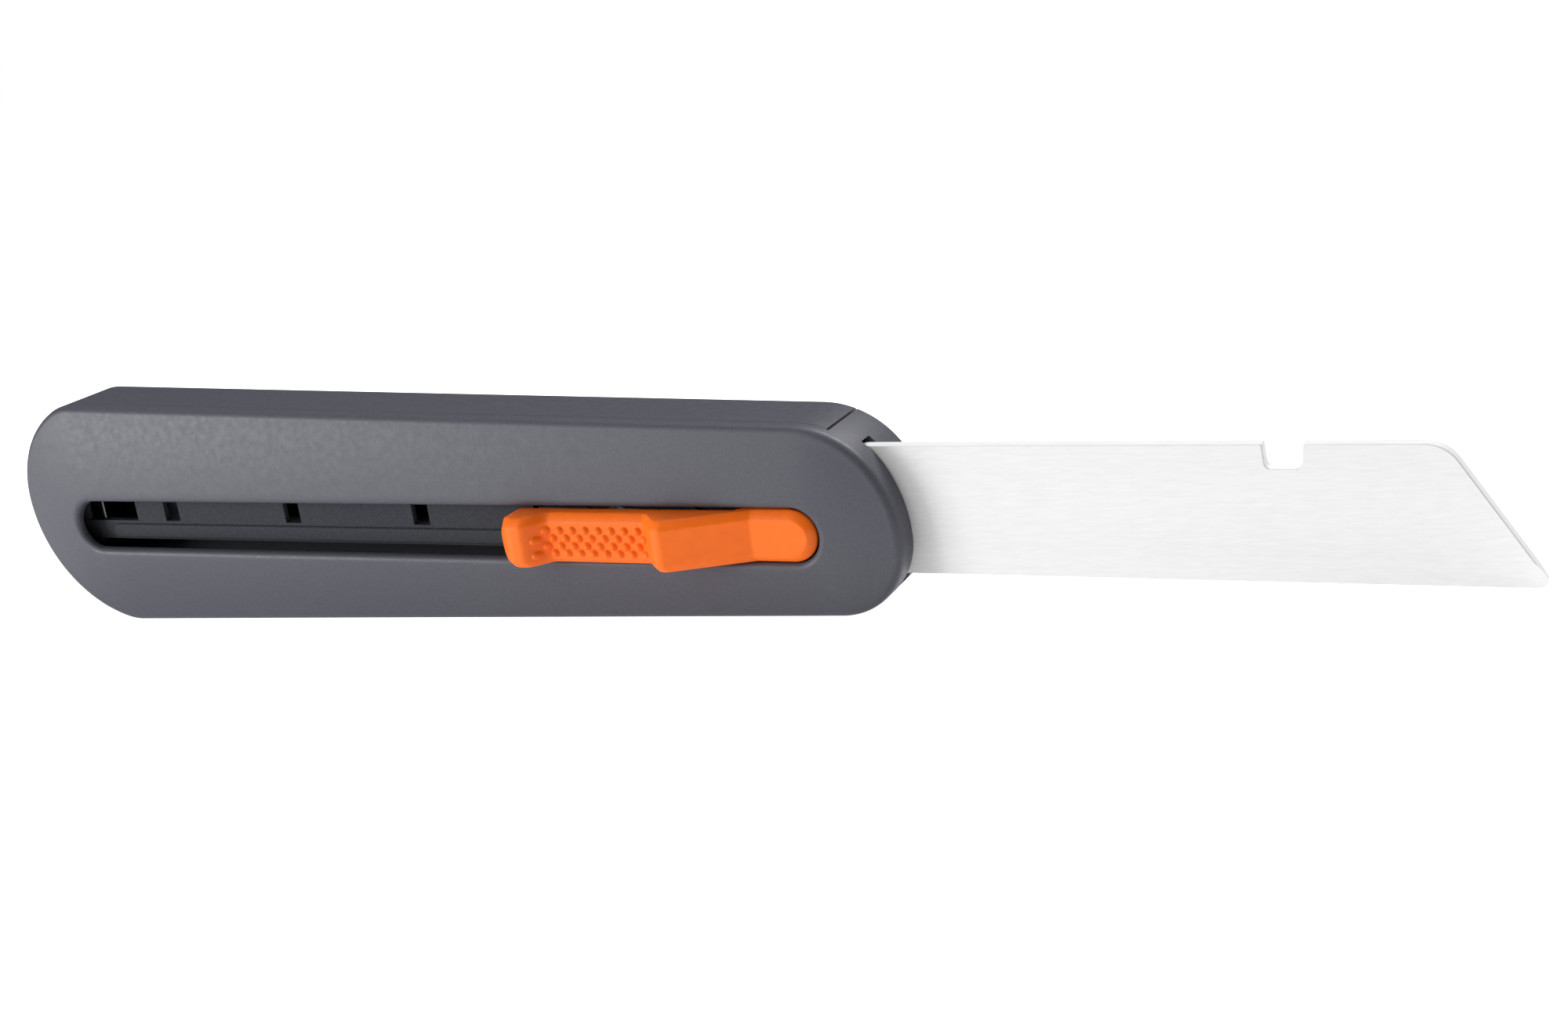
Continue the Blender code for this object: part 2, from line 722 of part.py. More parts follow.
def build_track_plate(mats):
    """Plate behind the slot: guide rail, detent windows and the carriage's passage."""
    rings = [outline_ring(WALL + 2.0 * GAP, y) for y in TRACK_Y]
    plate = loft("track_plate", rings, mats["dark"])
    through_y = (TRACK_Y[0] - 0.6, TRACK_Y[1] + 0.6)
    top_corner = TRACK_REAR[-1][0]
    low_corner = TRACK_REAR_LOW[0][0]
    plan = TRACK_REAR + ((top_corner, PLAN_MARGIN), (TRACK_FRONT_X, PLAN_MARGIN),
                         (TRACK_FRONT_X, -PLAN_MARGIN), (low_corner, -PLAN_MARGIN)) + TRACK_REAR_LOW
    combine(plate, "INTERSECT", prism("track_bound", plan, "y", *through_y, cutter=True))
    rail_half = 0.5 * (RAIL_Z[1] - RAIL_Z[0])
    rail_mid = 0.5 * (RAIL_Z[1] + RAIL_Z[0])
    rail_plan = [(x, z + rail_mid) for x, z in stadium(0.0, RAIL_FRONT_X, rail_half, 5, 2)]
    rail = prism("guide_rail", rail_plan, "y", RAIL_Y, 0.5 * (TRACK_Y[0] + TRACK_Y[1]), cutter=True)
    combine(plate, "UNION", rail)
    for index, x in enumerate(detent_positions()):
        window_x = (x - 0.5 * WINDOW_WIDTH, x + 0.5 * WINDOW_WIDTH)
        window = box(f"detent_window_{index + 1}", window_x, through_y, WINDOW_Z, cutter=True)
        combine(plate, "DIFFERENCE", window)
    pocket = box("rear_pocket", REAR_POCKET_X, through_y, WINDOW_Z, cutter=True)
    passage_x = (PASSAGE_REAR_X, neck_span()[1] + 2.0 * GAP)
    passage = box("neck_passage", passage_x, through_y, PASSAGE_Z, cutter=True)
    combine(plate, "DIFFERENCE", pocket, passage)
    for index, (x, z) in enumerate(TRACK_SCREWS):
        hole = rod(f"track_hole_{index + 1}", "y", (x, z), TRACK_HOLE_RADIUS, *through_y, cutter=True)
        combine(plate, "DIFFERENCE", hole)
    return plate


def detent_positions():
    """Three evenly spaced stops from the retracted one, and the fully extended one."""
    evenly = [DETENT_FIRST_X + DETENT_PITCH * k for k in range(3)]
    return evenly + [DETENT_FIRST_X + TRAVEL]


def neck_span():
    return CARRIAGE_SCREWS[0] - NECK_MARGIN, CARRIAGE_SCREWS[1] + NECK_MARGIN


def build_track_screws(mats):
    head = (TRACK_Y[1] + SEAT_GAP, TRACK_Y[1] + 1.0)
    for index, (x, z) in enumerate(TRACK_SCREWS):
        screw(f"track_screw_{index + 1}", x, z, head, BOSS_FLOOR_Y, SMALL_HEAD, TRACK_SHAFT, mats["steel"])


# =====================================================================
# Carriage and blade
# =====================================================================
def build_carriage(mats):
    """Sliding frame under the face: two side bars, two cross bars, a floor and a neck."""
    bar_y = (BAR_FRONT_Y, TRACK_Y[0] - GAP)
    cross_z = (-CROSS_HALF_HEIGHT, CROSS_HALF_HEIGHT)
    carriage = box("slider_carriage", CARRIAGE_X, bar_y, (BAR_INNER_Z, BAR_OUTER_Z[1]), mats["dark"])
    lower = box("carriage_lower_bar", CARRIAGE_X, bar_y, (BAR_OUTER_Z[0], -BAR_INNER_Z), cutter=True)
    rear_cross = box("carriage_rear_cross", CROSS_X[0], CROSS_Y, cross_z, cutter=True)
    front_cross = box("carriage_front_cross", CROSS_X[1], CROSS_Y, cross_z, cutter=True)
    floor_y = (FLOOR_Y, bar_y[1] - 0.05)
    floor = box("carriage_floor", FLOOR_X, floor_y, (-0.5, CROSS_HALF_HEIGHT), cutter=True)
    neck_y = (BAR_FRONT_Y + GAP, TRACK_Y[1])
    neck = box("carriage_neck", neck_span(), neck_y, (PASSAGE_Z[0] + GAP, NECK_TOP_Z), cutter=True)
    combine(carriage, "UNION", lower, rear_cross, front_cross, floor, neck)
    detent_x = DETENT_FIRST_X + TRAVEL
    opening_x = (detent_x + DETENT_OPENING[0], detent_x + DETENT_OPENING[1])
    opening = box("detent_opening", opening_x, bar_y, DETENT_OPENING_Z, cutter=True)
    combine(carriage, "DIFFERENCE", opening)
    half = PIN_HALF_LENGTH + 0.5 * GAP
    pivot = rod("pivot_hole", "z", (PIVOT_X, PIVOT_Y), PIVOT_RADIUS + PIN_GAP, -half, half,
                cutter=True, segments=12)
    combine(carriage, "DIFFERENCE", pivot)
    for index, x in enumerate(CARRIAGE_SCREWS):
        pilot = rod(f"neck_pilot_{index + 1}", "y", (x, CARRIAGE_SCREW_Z), PILOT_RADIUS,
                    BAR_FRONT_Y - GAP, TRACK_Y[1] + GAP, cutter=True, segments=12)
        combine(carriage, "DIFFERENCE", pilot)
    return carriage


def build_blade_holder(mats):
    """Steel plate under the blade, with a block behind the blade for the clip screw."""
    plate_y = (TRACK_Y[1] + GAP, BLADE_Y[0] - 0.35)
    through_y = (plate_y[0] - 1.0, plate_y[1] + 1.0)
    corners = [(x, z, HOLDER_CORNER) for x, z in rectangle(HOLDER_X, HOLDER_Z)]
    holder = prism("blade_holder", rounded(corners, 3), "y", plate_y[0], plate_y[1], mats["steel"])
    block = box("clip_block", BLOCK_X, (plate_y[0] + GAP, BLADE_Y[1]), BLOCK_Z, cutter=True)
    combine(holder, "UNION", block)
    lug_hole = rod("lug_hole", "y", (rear_notch_centre(), RIVET_Z), RIVET_RADIUS + 0.2, *through_y,
                   cutter=True, segments=16)
    clip_hole = rod("clip_pilot", "y", CLIP_SCREW, PILOT_RADIUS, through_y[0], BLADE_Y[1] + 1.0,
                    cutter=True, segments=16)
    combine(holder, "DIFFERENCE", lug_hole, clip_hole)
    seat = ((through_y[0], 0.0), (through_y[0], 0.85), (plate_y[0] + GAP, 0.85),
            (plate_y[0] + GAP, 1.7), (through_y[1], 1.7), (through_y[1], 0.0))
    for index, x in enumerate(CARRIAGE_SCREWS):
        cutter = turned(f"screw_seat_{index + 1}", seat, "y", (x, CARRIAGE_SCREW_Z), cutter=True)
        combine(holder, "DIFFERENCE", cutter)
    return holder


def rectangle(x, z):
    return (x[0], z[0]), (x[1], z[0]), (x[1], z[1]), (x[0], z[1])


def rear_notch_centre():
    middle = 0.5 * (BLADE_TIP_X + BLADE_END_X)
    return 2.0 * middle - 0.5 * (NOTCH_X[0] + NOTCH_X[1])


def build_blade_lug(mats):
    """Oval lug that fills the rear notch of the blade, riveted through the holder."""
    lug_x = rear_notch_centre()
    span = (lug_x - LUG_HALF_LENGTH, lug_x + LUG_HALF_LENGTH)
    corners = [(x, z, 0.9) for x, z in rectangle(span, LUG_Z)]
    lug = prism("blade_locating_lug", rounded(corners, 4), "y", LUG_Y[0], LUG_Y[1], mats["steel"])
    rivet = rod("lug_rivet", "y", (lug_x, RIVET_Z), RIVET_RADIUS, TRACK_Y[1] + 0.35, LUG_Y[1] - 1.0,
                cutter=True, segments=16)
    combine(lug, "UNION", rivet)
    return lug


def build_blade(mats):
    """Double-ended ceramic blade: slanted ends, two spine notches, both sides bevelled."""
    middle = 0.5 * (BLADE_TIP_X + BLADE_END_X)
    top_x = BLADE_TIP_X - BLADE_SLANT
    floor_z = BLADE_TOP_Z - NOTCH_DEPTH
    half = [
        (BLADE_TIP_X, BLADE_EDGE_Z, BLADE_TIP_RADIUS),
        (top_x, BLADE_TOP_Z, BLADE_SHOULDER_RADIUS),
        (NOTCH_X[1], BLADE_TOP_Z, NOTCH_LIP_RADIUS),
        (NOTCH_X[1] - NOTCH_LIP_RADIUS, floor_z, NOTCH_FLOOR_RADIUS),
        (NOTCH_X[0] + NOTCH_LIP_RADIUS, floor_z, NOTCH_FLOOR_RADIUS),
        (NOTCH_X[0], BLADE_TOP_Z, NOTCH_LIP_RADIUS),
    ]
    mirrored = [(2.0 * middle - x, z, radius) for x, z, radius in reversed(half)]
    outline = rounded(half + mirrored, 6)
    blade = prism("ceramic_blade", outline, "y", BLADE_Y[0], BLADE_Y[1], mats["white"])
    middle_y = 0.5 * (BLADE_Y[0] + BLADE_Y[1])
    low_z = BLADE_EDGE_Z - 1.0
    for side, face_y in ((-1.0, BLADE_Y[0]), (1.0, BLADE_Y[1])):
        land_y = middle_y + side * EDGE_LAND
        wedge = [
            (face_y, BLADE_BEVEL_Z),
            (face_y + side, BLADE_BEVEL_Z),
            (face_y + side, low_z),
            (land_y, low_z),
            (land_y, BLADE_EDGE_Z),
        ]
        name = "bevel_front" if side < 0.0 else "bevel_back"
        cutter = prism(name, wedge, "x", BLADE_END_X - PAST, BLADE_TIP_X + PAST, cutter=True)
        combine(blade, "DIFFERENCE", cutter)
    return blade


def build_blade_clip(mats):
    """Spring-steel strip that presses the rear of the blade onto its holder."""
    middle_y = BLADE_Y[1] + CLIP_GAP
    line = [(x, middle_y) for x in CLIP_LINE_X[:-1]] + [(CLIP_LINE_X[-1], middle_y + CLIP_CURL)]
    width_z = (BLOCK_Z[0] + CLIP_SIDE_MARGIN, BLOCK_Z[1] - CLIP_SIDE_MARGIN)
    clip = ribbon("blade_clip", line, CLIP_THICKNESS, width_z, mats["steel"])
    hole_y = (middle_y - CLIP_THICKNESS, middle_y + CLIP_THICKNESS)
    combine(clip, "DIFFERENCE", rod("clip_hole", "y", CLIP_SCREW, CLIP_HOLE_RADIUS, *hole_y, cutter=True))
    seat_y = middle_y + 0.5 * CLIP_THICKNESS + SEAT_GAP
    screw("clip_screw", *CLIP_SCREW, (seat_y, seat_y + 0.9), CLIP_SCREW_TIP_Y, SMALL_HEAD,
          SMALL_SHAFT, mats["steel"])
    return clip


def build_carriage_screws(mats):
    names = ("carriage_screw_rear", "carriage_screw_front")
    for name, x in zip(names, CARRIAGE_SCREWS):
        screw(name, x, CARRIAGE_SCREW_Z, CARRIAGE_HEAD_Y, CARRIAGE_TIP_Y, CARRIAGE_HEAD,
              SMALL_SHAFT, mats["steel"])


def build_pivot_pin(mats):
    return rod("button_pivot_pin", "z", (PIVOT_X, PIVOT_Y), PIVOT_RADIUS,
               -PIN_HALF_LENGTH, PIN_HALF_LENGTH, mats["steel"], segments=12)


def build_detent_spring(mats):
    """Leaf with a V that drops into a detent window; its free end lies under the button."""
    middle = DETENT_FIRST_X + TRAVEL
    line = [DETENT_LEAF_START] + [(middle + offset, y) for offset, y in DETENT_BENDS]
    return ribbon("detent_spring", line, LEAF, DETENT_LEAF_Z, mats["steel"])


def build_return_spring(mats):
    """Arched leaf between the carriage floor and the underside of the button."""
    line = arch(RETURN_LEAF_X, RETURN_LEAF_Y, -RETURN_LEAF_RISE, 8)
    return ribbon("button_return_spring", line, LEAF, RETURN_LEAF_Z, mats["steel"])


def arch(span, y, rise, steps):
    """Half a sine wave over a span of X."""
    points = []
    for k in range(steps + 1):
        share = k / steps
        points.append((span[0] + (span[1] - span[0]) * share, y + rise * math.sin(math.pi * share)))
    return points


# =====================================================================
# Slider button
# =====================================================================
def smooth_step(x, start, end):
    share = min(max((x - start) / (end - start), 0.0), 1.0)
    return share * share * (3.0 - 2.0 * share)


def button_crown(x):
    """Outer surface of the button along its length; negative is out of the face."""
    lip = -LIP_HEIGHT * smooth_step(x, *LIP_X)
    dip = (LIP_HEIGHT - PAD_HEIGHT) * smooth_step(x, *DIP_X)
    ridge = (BUTTON_CREST_Y + PAD_HEIGHT) * smooth_step(x, *RIDGE_X)
    ramp_share = min(max((x - RAMP_X[0]) / (RAMP_X[1] - RAMP_X[0]), 0.0), 1.0)
    return lip + dip + ridge + (FRONT_Y - BUTTON_CREST_Y) * ramp_share


def button_floor(x):
    """Underside of the button, with the deeper boss for its pivot pin."""
    boss = smooth_step(x, *BOSS_START_X) - smooth_step(x, *BOSS_END_X)
    return BUTTON_FLOOR_Y + PIVOT_BOSS_DEPTH * boss


def between(span, steps):
    """Evenly spaced stations from one end of a span to the other."""
    return [span[0] + (span[1] - span[0]) * k / steps for k in range(steps + 1)]


def build_button(mats):
    """Finger slider: raised rear lip, recessed pad, ridge, ramp and flush front."""
    radius = BUTTON_HALF_HEIGHT
    rear_centre = BUTTON_REAR_X + radius
    stations = [LIP_X[1], *between(DIP_X, 4), 98.0, 104.0, *between(RIDGE_X, 4), RAMP_X[0], 118.0, 121.0,
                *between(BOSS_START_X, 3), RAMP_X[1], PIVOT_X, BOSS_END_X[0]]

    def ring(inset, depth):
        half = []
        inner = radius - inset
        for k in range(9):
            angle = math.radians(180.0 - 90.0 * k / 8)
            half.append((rear_centre + inner * math.cos(angle), inner * math.sin(angle)))
        half.extend((x, inner) for x in stations)
        for k in range(9):
            angle = math.radians(90.0 - 90.0 * k / 8)
            half.append((SLOT_LENGTH + inner * math.cos(angle), inner * math.sin(angle)))
        loop = half + [(x, -z) for x, z in half[-2:0:-1]]
        return [(x, depth(x), z) for x, z in loop]

    rings = [
        ring(BUTTON_CHAMFER, button_crown),
        ring(0.15, lambda x: button_crown(x) + 0.85 * BUTTON_CHAMFER),
        ring(0.0, lambda x: button_crown(x) + 1.1 * BUTTON_CHAMFER),
        ring(0.0, lambda x: max(button_floor(x) - 0.3, button_crown(x) + 1.3 * BUTTON_CHAMFER)),
        ring(0.3, lambda x: max(button_floor(x), button_crown(x) + 1.5 * BUTTON_CHAMFER)),
    ]
    button = loft("slider_button", rings, mats["orange"], smooth=True)
    pivot = rod("button_pin_hole", "z", (PIVOT_X, PIVOT_Y), PIVOT_RADIUS + PIN_GAP, -PAST, PAST,
                cutter=True, segments=12)
    combine(button, "DIFFERENCE", pivot)
    move_origin(button, PIVOT_X, PIVOT_Y, 0.0)
    return button


# =====================================================================
# Cover's inner spring
# =====================================================================
def build_pressure_spring(mats):
    """Bowed leaf on the inside of the cover that keeps the blade from rattling."""
    start, end = PRESSURE_LEAF_X
    bow = arch(PRESSURE_LEAF_X, PRESSURE_LEAF_Y, -PRESSURE_LEAF_BOW, 10)
    feet = (start - PRESSURE_LEAF_FOOT, PRESSURE_LEAF_Y), (end + PRESSURE_LEAF_FOOT, PRESSURE_LEAF_Y)
    line = [feet[0], *bow, feet[1]]
    return ribbon("blade_pressure_spring", line, PRESSURE_LEAF_THICKNESS, PRESSURE_LEAF_Z, mats["steel"])


def main():
    clear_scene()
    make_track_frame()
    mats = make_materials()
    build_front_shell(mats)
    build_back_cover(mats)
    build_hinge_pin(mats)
    build_track_plate(mats)
    build_track_screws(mats)
    build_carriage(mats)
    build_blade_holder(mats)
    build_blade_lug(mats)
    build_blade(mats)
    build_blade_clip(mats)
    build_carriage_screws(mats)
    build_pivot_pin(mats)
    build_detent_spring(mats)
    build_return_spring(mats)
    build_button(mats)
    build_pressure_spring(mats)


main()
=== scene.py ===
"""Looks of the utility knife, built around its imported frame.

Shapes are drawn in the knife's track frame, in millimetres: X runs along the blade
towards its tip, Y from the slotted face to the back, Z from the edge to the spine.
The track frame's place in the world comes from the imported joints.
"""

import json
import math

import bmesh
import bpy
import numpy as np
from mathutils import Matrix, Vector


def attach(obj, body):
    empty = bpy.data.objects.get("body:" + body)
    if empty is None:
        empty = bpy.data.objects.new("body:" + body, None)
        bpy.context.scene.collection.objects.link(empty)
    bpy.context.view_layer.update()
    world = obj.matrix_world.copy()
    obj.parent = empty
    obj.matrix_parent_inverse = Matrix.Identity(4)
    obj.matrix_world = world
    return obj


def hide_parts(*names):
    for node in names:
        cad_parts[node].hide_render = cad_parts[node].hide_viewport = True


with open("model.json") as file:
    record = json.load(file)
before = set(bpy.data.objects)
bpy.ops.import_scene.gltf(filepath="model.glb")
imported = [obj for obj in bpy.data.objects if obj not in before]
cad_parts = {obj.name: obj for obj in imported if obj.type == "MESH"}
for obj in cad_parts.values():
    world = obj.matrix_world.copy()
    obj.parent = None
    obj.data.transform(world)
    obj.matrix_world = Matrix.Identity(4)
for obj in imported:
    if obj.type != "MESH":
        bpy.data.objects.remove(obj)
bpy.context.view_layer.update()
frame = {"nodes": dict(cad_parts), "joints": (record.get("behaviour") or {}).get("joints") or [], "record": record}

MM = 0.001
# Points closer than this are one point.
WELD = 1e-5
# How far cutting bodies reach past the shape they cut.
PAST = 5.0
PLAN_MARGIN = 30.0
# Edges sharper than this stay sharp.
SHELL_CREASE = 30.0
SLIDER_CREASE = 40.0
BLADE_CREASE = 20.0

# ---- handle outline, seen from the slotted face ----
HANDLE_DEPTH = 16.5
REAR_X = -18.0
REAR_Z = 4.1
NOSE_X = 150.85
TOP_Z = 21.19
TOP_SLOPE = -0.0347
BOTTOM_Z = -18.6
BOTTOM_SLOPE = 0.0381
REAR_TOP_RADII = (18.1, 9.0)
REAR_BOTTOM_RADII = (23.1, 10.0)
NOSE_TOP_RADII = (21.0, 15.6)
NOSE_BOTTOM_RADIUS = 11.45
FACE_FILLET = 1.5
BACK_FILLET = 0.9
PILLOW_DROP = 2.2
PILLOW_REACH = 19.0

# ---- shells ----
WALL = 1.8
EDGE_WALL = 0.9
PARTING_Y = 4.5
PARTING_GAP = 0.08
SEAM_X = 140.5
SEAM_GAP = 0.4
HOLLOW_MARGIN = 0.06
MOUTH_REACH = 3.0
MOUTH_Y = (6.8, 9.7)
MOUTH_Z = (-10.8, 12.9)

# ---- slot and slider ----
SLOT_HALF_HEIGHT = 4.37
SLOT_REAR_X = -1.1
SLOT_LENGTH = 134.0
SLOT_RIM = 1.1
BUTTON_HALF_HEIGHT = 4.08
BUTTON_REAR_X = 84.3
BUTTON_CHAMFER = 1.2
LIP_HEIGHT = 5.5
LIP_X = (81.9, 89.2)
PAD_HEIGHT = 2.4
DIP_X = (90.2, 94.2)
RIDGE_HEIGHT = 6.0
RIDGE_X = (110.4, 114.8)
RAMP_X = (115.4, 127.8)
BUTTON_FRONT_Y = -0.15
BUTTON_FLOOR_Y = 1.0
PIVOT_BOSS_DEPTH = 2.8
BOSS_START_X = (124.6, 127.4)
BOSS_END_X = (133.6, 134.2)
PIVOT_X = 131.0
PIVOT_Y = 3.05
PIN_HOLE_RADIUS = 0.55
DIMPLED_X = (92.0, 112.2)
COARSE_STEP = 0.25
FINE_STEP = 0.1
DIMPLE_PITCH = 2.3
DIMPLE_RADIUS = 0.68
DIMPLE_HEIGHT = 0.62
DIMPLE_ROWS = ((93.7, 1.55), (92.4, 0.27), (93.7, -0.98), (92.4, -2.15))
DIMPLE_END_X = 111.4

# ---- detent track ----
TRACK_Y = (4.6, 5.6)
TRACK_REAR = ((-8.0, -4.0), (-8.0, 11.0), (-6.0, 15.0), (-2.5, 17.5), (3.0, 19.5))
TRACK_REAR_LOW = ((3.0, -14.5), (-3.0, -10.0))
TRACK_FRONT_X = 139.4
TRACK_INSET = 0.6
THROUGH_TRACK_Y = (4.0, 6.2)
TRACK_HOLE_RADIUS = 1.0
REAR_POCKET_X = (-7.0, 4.5)
RAIL_Z = (-3.5, -0.92)
RAIL_Y = 4.1
RAIL_END_X = 126.0
RAIL_ROUND = 0.45
WINDOW_WIDTH = 3.2
WINDOW_Z = (-0.4, 5.4)
WINDOW_X = (12.5, 38.9, 65.3, 101.5)
PASSAGE_X = (-4.5, 124.6)
PASSAGE_Z = (-8.6, -3.75)
TRACK_SCREWS = ((8.0, -12.0), (62.0, -11.3), (8.0, 14.5), (100.0, 13.6))
BOSS_RADIUS = 2.0
BOSS_HOLE_RADIUS = 0.9
BOSS_FLOOR_Y = 2.75
BOSS_ROOT = 0.4

# ---- blade ----
BLADE_Y = (7.15, 9.35)
BLADE_TOP_Z = 12.03
BLADE_BEVEL_Z = -4.33
BLADE_EDGE_Z = -8.06
BLADE_TIP_X = 239.6
BLADE_END_X = 97.6
BLADE_SLANT = 13.2
BLADE_TIP_RADIUS = 1.2
NOTCH_X = (202.66, 208.12)
NOTCH_DEPTH = 3.45
BLADE_SHOULDER_RADIUS = 5.2
NOTCH_LIP_RADIUS = 0.3
NOTCH_FLOOR_RADIUS = 0.9
EDGE_LAND = 0.12
BLADE_ARRIS = 0.12

# ---- rear hinge of the back cover ----
HINGE_X = -15.8
HINGE_Y = 14.6
HINGE_Z = 3.6
HINGE_HOLE_RADIUS = 0.85
PIN_FLOOR = 2.0
KNUCKLE_RADIUS = 1.75
POST_X = -13.4
POST_ROUND = 2.0
POST_GAP = 0.3
POSTS_Z = ((-3.6, 0.0), (7.2, 10.8))

# ---- camera ----
CAMERA_AZIMUTH = 27.17
CAMERA_ELEVATION = 16.33
CAMERA_DIP = 9.79
CAMERA_LENS = 46.19
CAMERA_PLACE = (0.15346, -0.25841, 0.10015)

# ---- studio: name, azimuth from the front, elevation and power of each soft light ----
STUDIO_LIGHTS = (
    ("key", -48.0, 8.0, 4.9),
    ("fill", -25.0, 35.0, 1.5),
    ("rim", 150.0, 50.0, 6.3),
    ("top", 180.0, 75.0, 1.7),
)
LIGHT_DISTANCE = 0.8
LIGHT_SIZE = 0.4
# Brightness of the world and of the floor: as a light, and as the camera sees the floor.
WORLD_GLOW = 0.02
FLOOR_GLOW = 0.42
FLOOR_SEEN = 1.0


# =====================================================================
# Track frame
# =====================================================================
def track_matrix():
    """World matrix of the track frame, from the slide's axis and the cover's hinge."""
    joints = {joint["name"]: joint for joint in frame["joints"]}
    along = Vector(joints["blade_slide"]["axis"]).normalized()
    up = Vector(joints["cover_hinge"]["axis"]).normalized()
    back = up.cross(along)
    hinge = Vector(joints["cover_hinge"]["pos_m"])
    origin = hinge - (along * HINGE_X + back * HINGE_Y + up * HINGE_Z) * MM
    matrix = Matrix((along * MM, back * MM, up * MM)).transposed().to_4x4()
    matrix.translation = origin
    return matrix


TRACK = track_matrix()


# =====================================================================
# Mesh helpers
# =====================================================================
def make_object(name, verts, faces):
    """Object from track-frame points, with its faces turned to point outwards."""
    mesh = bpy.data.meshes.new(name)
    mesh.from_pydata([tuple(v) for v in verts], [], [tuple(f) for f in faces])
    bm = bmesh.new()
    bm.from_mesh(mesh)
    bmesh.ops.remove_doubles(bm, verts=bm.verts, dist=WELD)
    bmesh.ops.recalc_face_normals(bm, faces=bm.faces)
    bm.to_mesh(mesh)
    bm.free()
    obj = bpy.data.objects.new(name, mesh)
    bpy.context.scene.collection.objects.link(obj)
    return obj


def soften(obj, angle):
    """Smooth shading, except at edges sharper than an angle in degrees."""
    obj.data.shade_smooth()
    obj.data.set_sharp_from_angle(angle=math.radians(angle))


def ladder(loop):
    """Faces that close a ring, with rungs between its upper and its lower half."""
    count = len(loop)
    faces = []
    for i in range(count // 2):
        corners = [loop[i], loop[i + 1], loop[(count - i - 1) % count], loop[(count - i) % count]]
        faces.append(list(dict.fromkeys(corners)))
    return faces


def skin(rings):
    """Vertices and side faces of a body through rings of equal length."""
    count = len(rings[0])
    verts = [point for ring in rings for point in ring]
    faces = []
    for r in range(len(rings) - 1):
        for i in range(count):
            j = (i + 1) % count
            faces.append((r * count + i, r * count + j, (r + 1) * count + j, (r + 1) * count + i))
    return verts, faces


def loft(name, rings):
    verts, faces = skin(rings)
    count = len(rings[0])
    faces += ladder(list(range(count)))
    faces += ladder(list(range(len(verts) - count, len(verts))))
    return make_object(name, verts, faces)


def prism(name, points, axis, low, high):
    """Straight body: points are (y, z), (x, z) or (x, y) for axis x, y or z."""
    verts = []
    for level in (low, high):
        for u, v in points:
            verts.append({"x": (level, u, v), "y": (u, level, v), "z": (u, v, level)}[axis])
    count = len(points)
    faces = [(i, (i + 1) % count, count + (i + 1) % count, count + i) for i in range(count)]
    faces.append(range(count))
    faces.append(range(count, 2 * count))
    return make_object(name, verts, faces)


def box(name, x, y, z):
    corners = ((x[0], z[0]), (x[1], z[0]), (x[1], z[1]), (x[0], z[1]))
    return prism(name, corners, "y", y[0], y[1])


def turned(name, profile, axis, centre, segments=48):
    """Turned body: profile is (distance along the axis, radius), first and last on the axis."""
    verts = []
    rows = []
    for along, radius in profile:
        row = []
        for k in range(segments if radius > 0.0 else 1):
            angle = 2.0 * math.pi * k / segments
            u = centre[0] + radius * math.cos(angle)
            v = centre[1] + radius * math.sin(angle)
            row.append(len(verts))
            verts.append({"x": (along, u, v), "y": (u, along, v), "z": (u, v, along)}[axis])
        rows.append(row)
    faces = []
    for first, second in zip(rows, rows[1:]):
        for k in range(segments):
            j = (k + 1) % segments
            corners = [first[k % len(first)], first[j % len(first)],
                       second[j % len(second)], second[k % len(second)]]
            faces.append(list(dict.fromkeys(corners)))
    return make_object(name, verts, faces)


def rod(name, axis, centre, radius, low, high):
    return turned(name, ((low, 0.0), (low, radius), (high, radius), (high, 0.0)), axis, centre)


def carve(obj, operation, *tools):
    """Cut, join or intersect a body with others, which are used up."""
    for tool in tools:
        modifier = obj.modifiers.new(operation.lower(), "BOOLEAN")
        modifier.operation = operation
        modifier.object = tool
        modifier.solver = "EXACT"
        apply_modifiers(obj)
        bpy.data.objects.remove(tool)


def apply_modifiers(obj):
    bpy.context.view_layer.update()
    evaluated = obj.evaluated_get(bpy.context.evaluated_depsgraph_get())
    mesh = bpy.data.meshes.new_from_object(evaluated)
    obj.modifiers.clear()
    obj.data = mesh


def place(obj, body, node, material):
    """Move a finished piece from the track frame to the world, for its CAD node."""
    obj.data.transform(TRACK)
    obj.data.materials.clear()
    obj.data.materials.append(material)
    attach(obj, body)
    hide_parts(node)
    return obj


def rounded(corners, steps=8):
    """Polygon of (u, v, radius) corners with each corner replaced by its arc."""
    points = []
    count = len(corners)
    for i, (u, v, radius) in enumerate(corners):
        if radius == 0.0:
            points.append((u, v))
            continue
        before = corners[i - 1]
        after = corners[(i + 1) % count]
        in_len = math.hypot(u - before[0], v - before[1])
        out_len = math.hypot(after[0] - u, after[1] - v)
        in_dir = ((u - before[0]) / in_len, (v - before[1]) / in_len)
        out_dir = ((after[0] - u) / out_len, (after[1] - v) / out_len)
        cross = in_dir[0] * out_dir[1] - in_dir[1] * out_dir[0]
        turn = math.atan2(cross, in_dir[0] * out_dir[0] + in_dir[1] * out_dir[1])
        setback = radius * math.tan(0.5 * abs(turn))
        side = math.copysign(1.0, turn)
        centre_u = u - in_dir[0] * setback - in_dir[1] * radius * side
        centre_v = v - in_dir[1] * setback + in_dir[0] * radius * side
        start = math.atan2(-in_dir[0] * side, in_dir[1] * side)
        for k in range(steps + 1):
            angle = start + turn * k / steps
            points.append((centre_u + radius * math.cos(angle), centre_v + radius * math.sin(angle)))
    return points


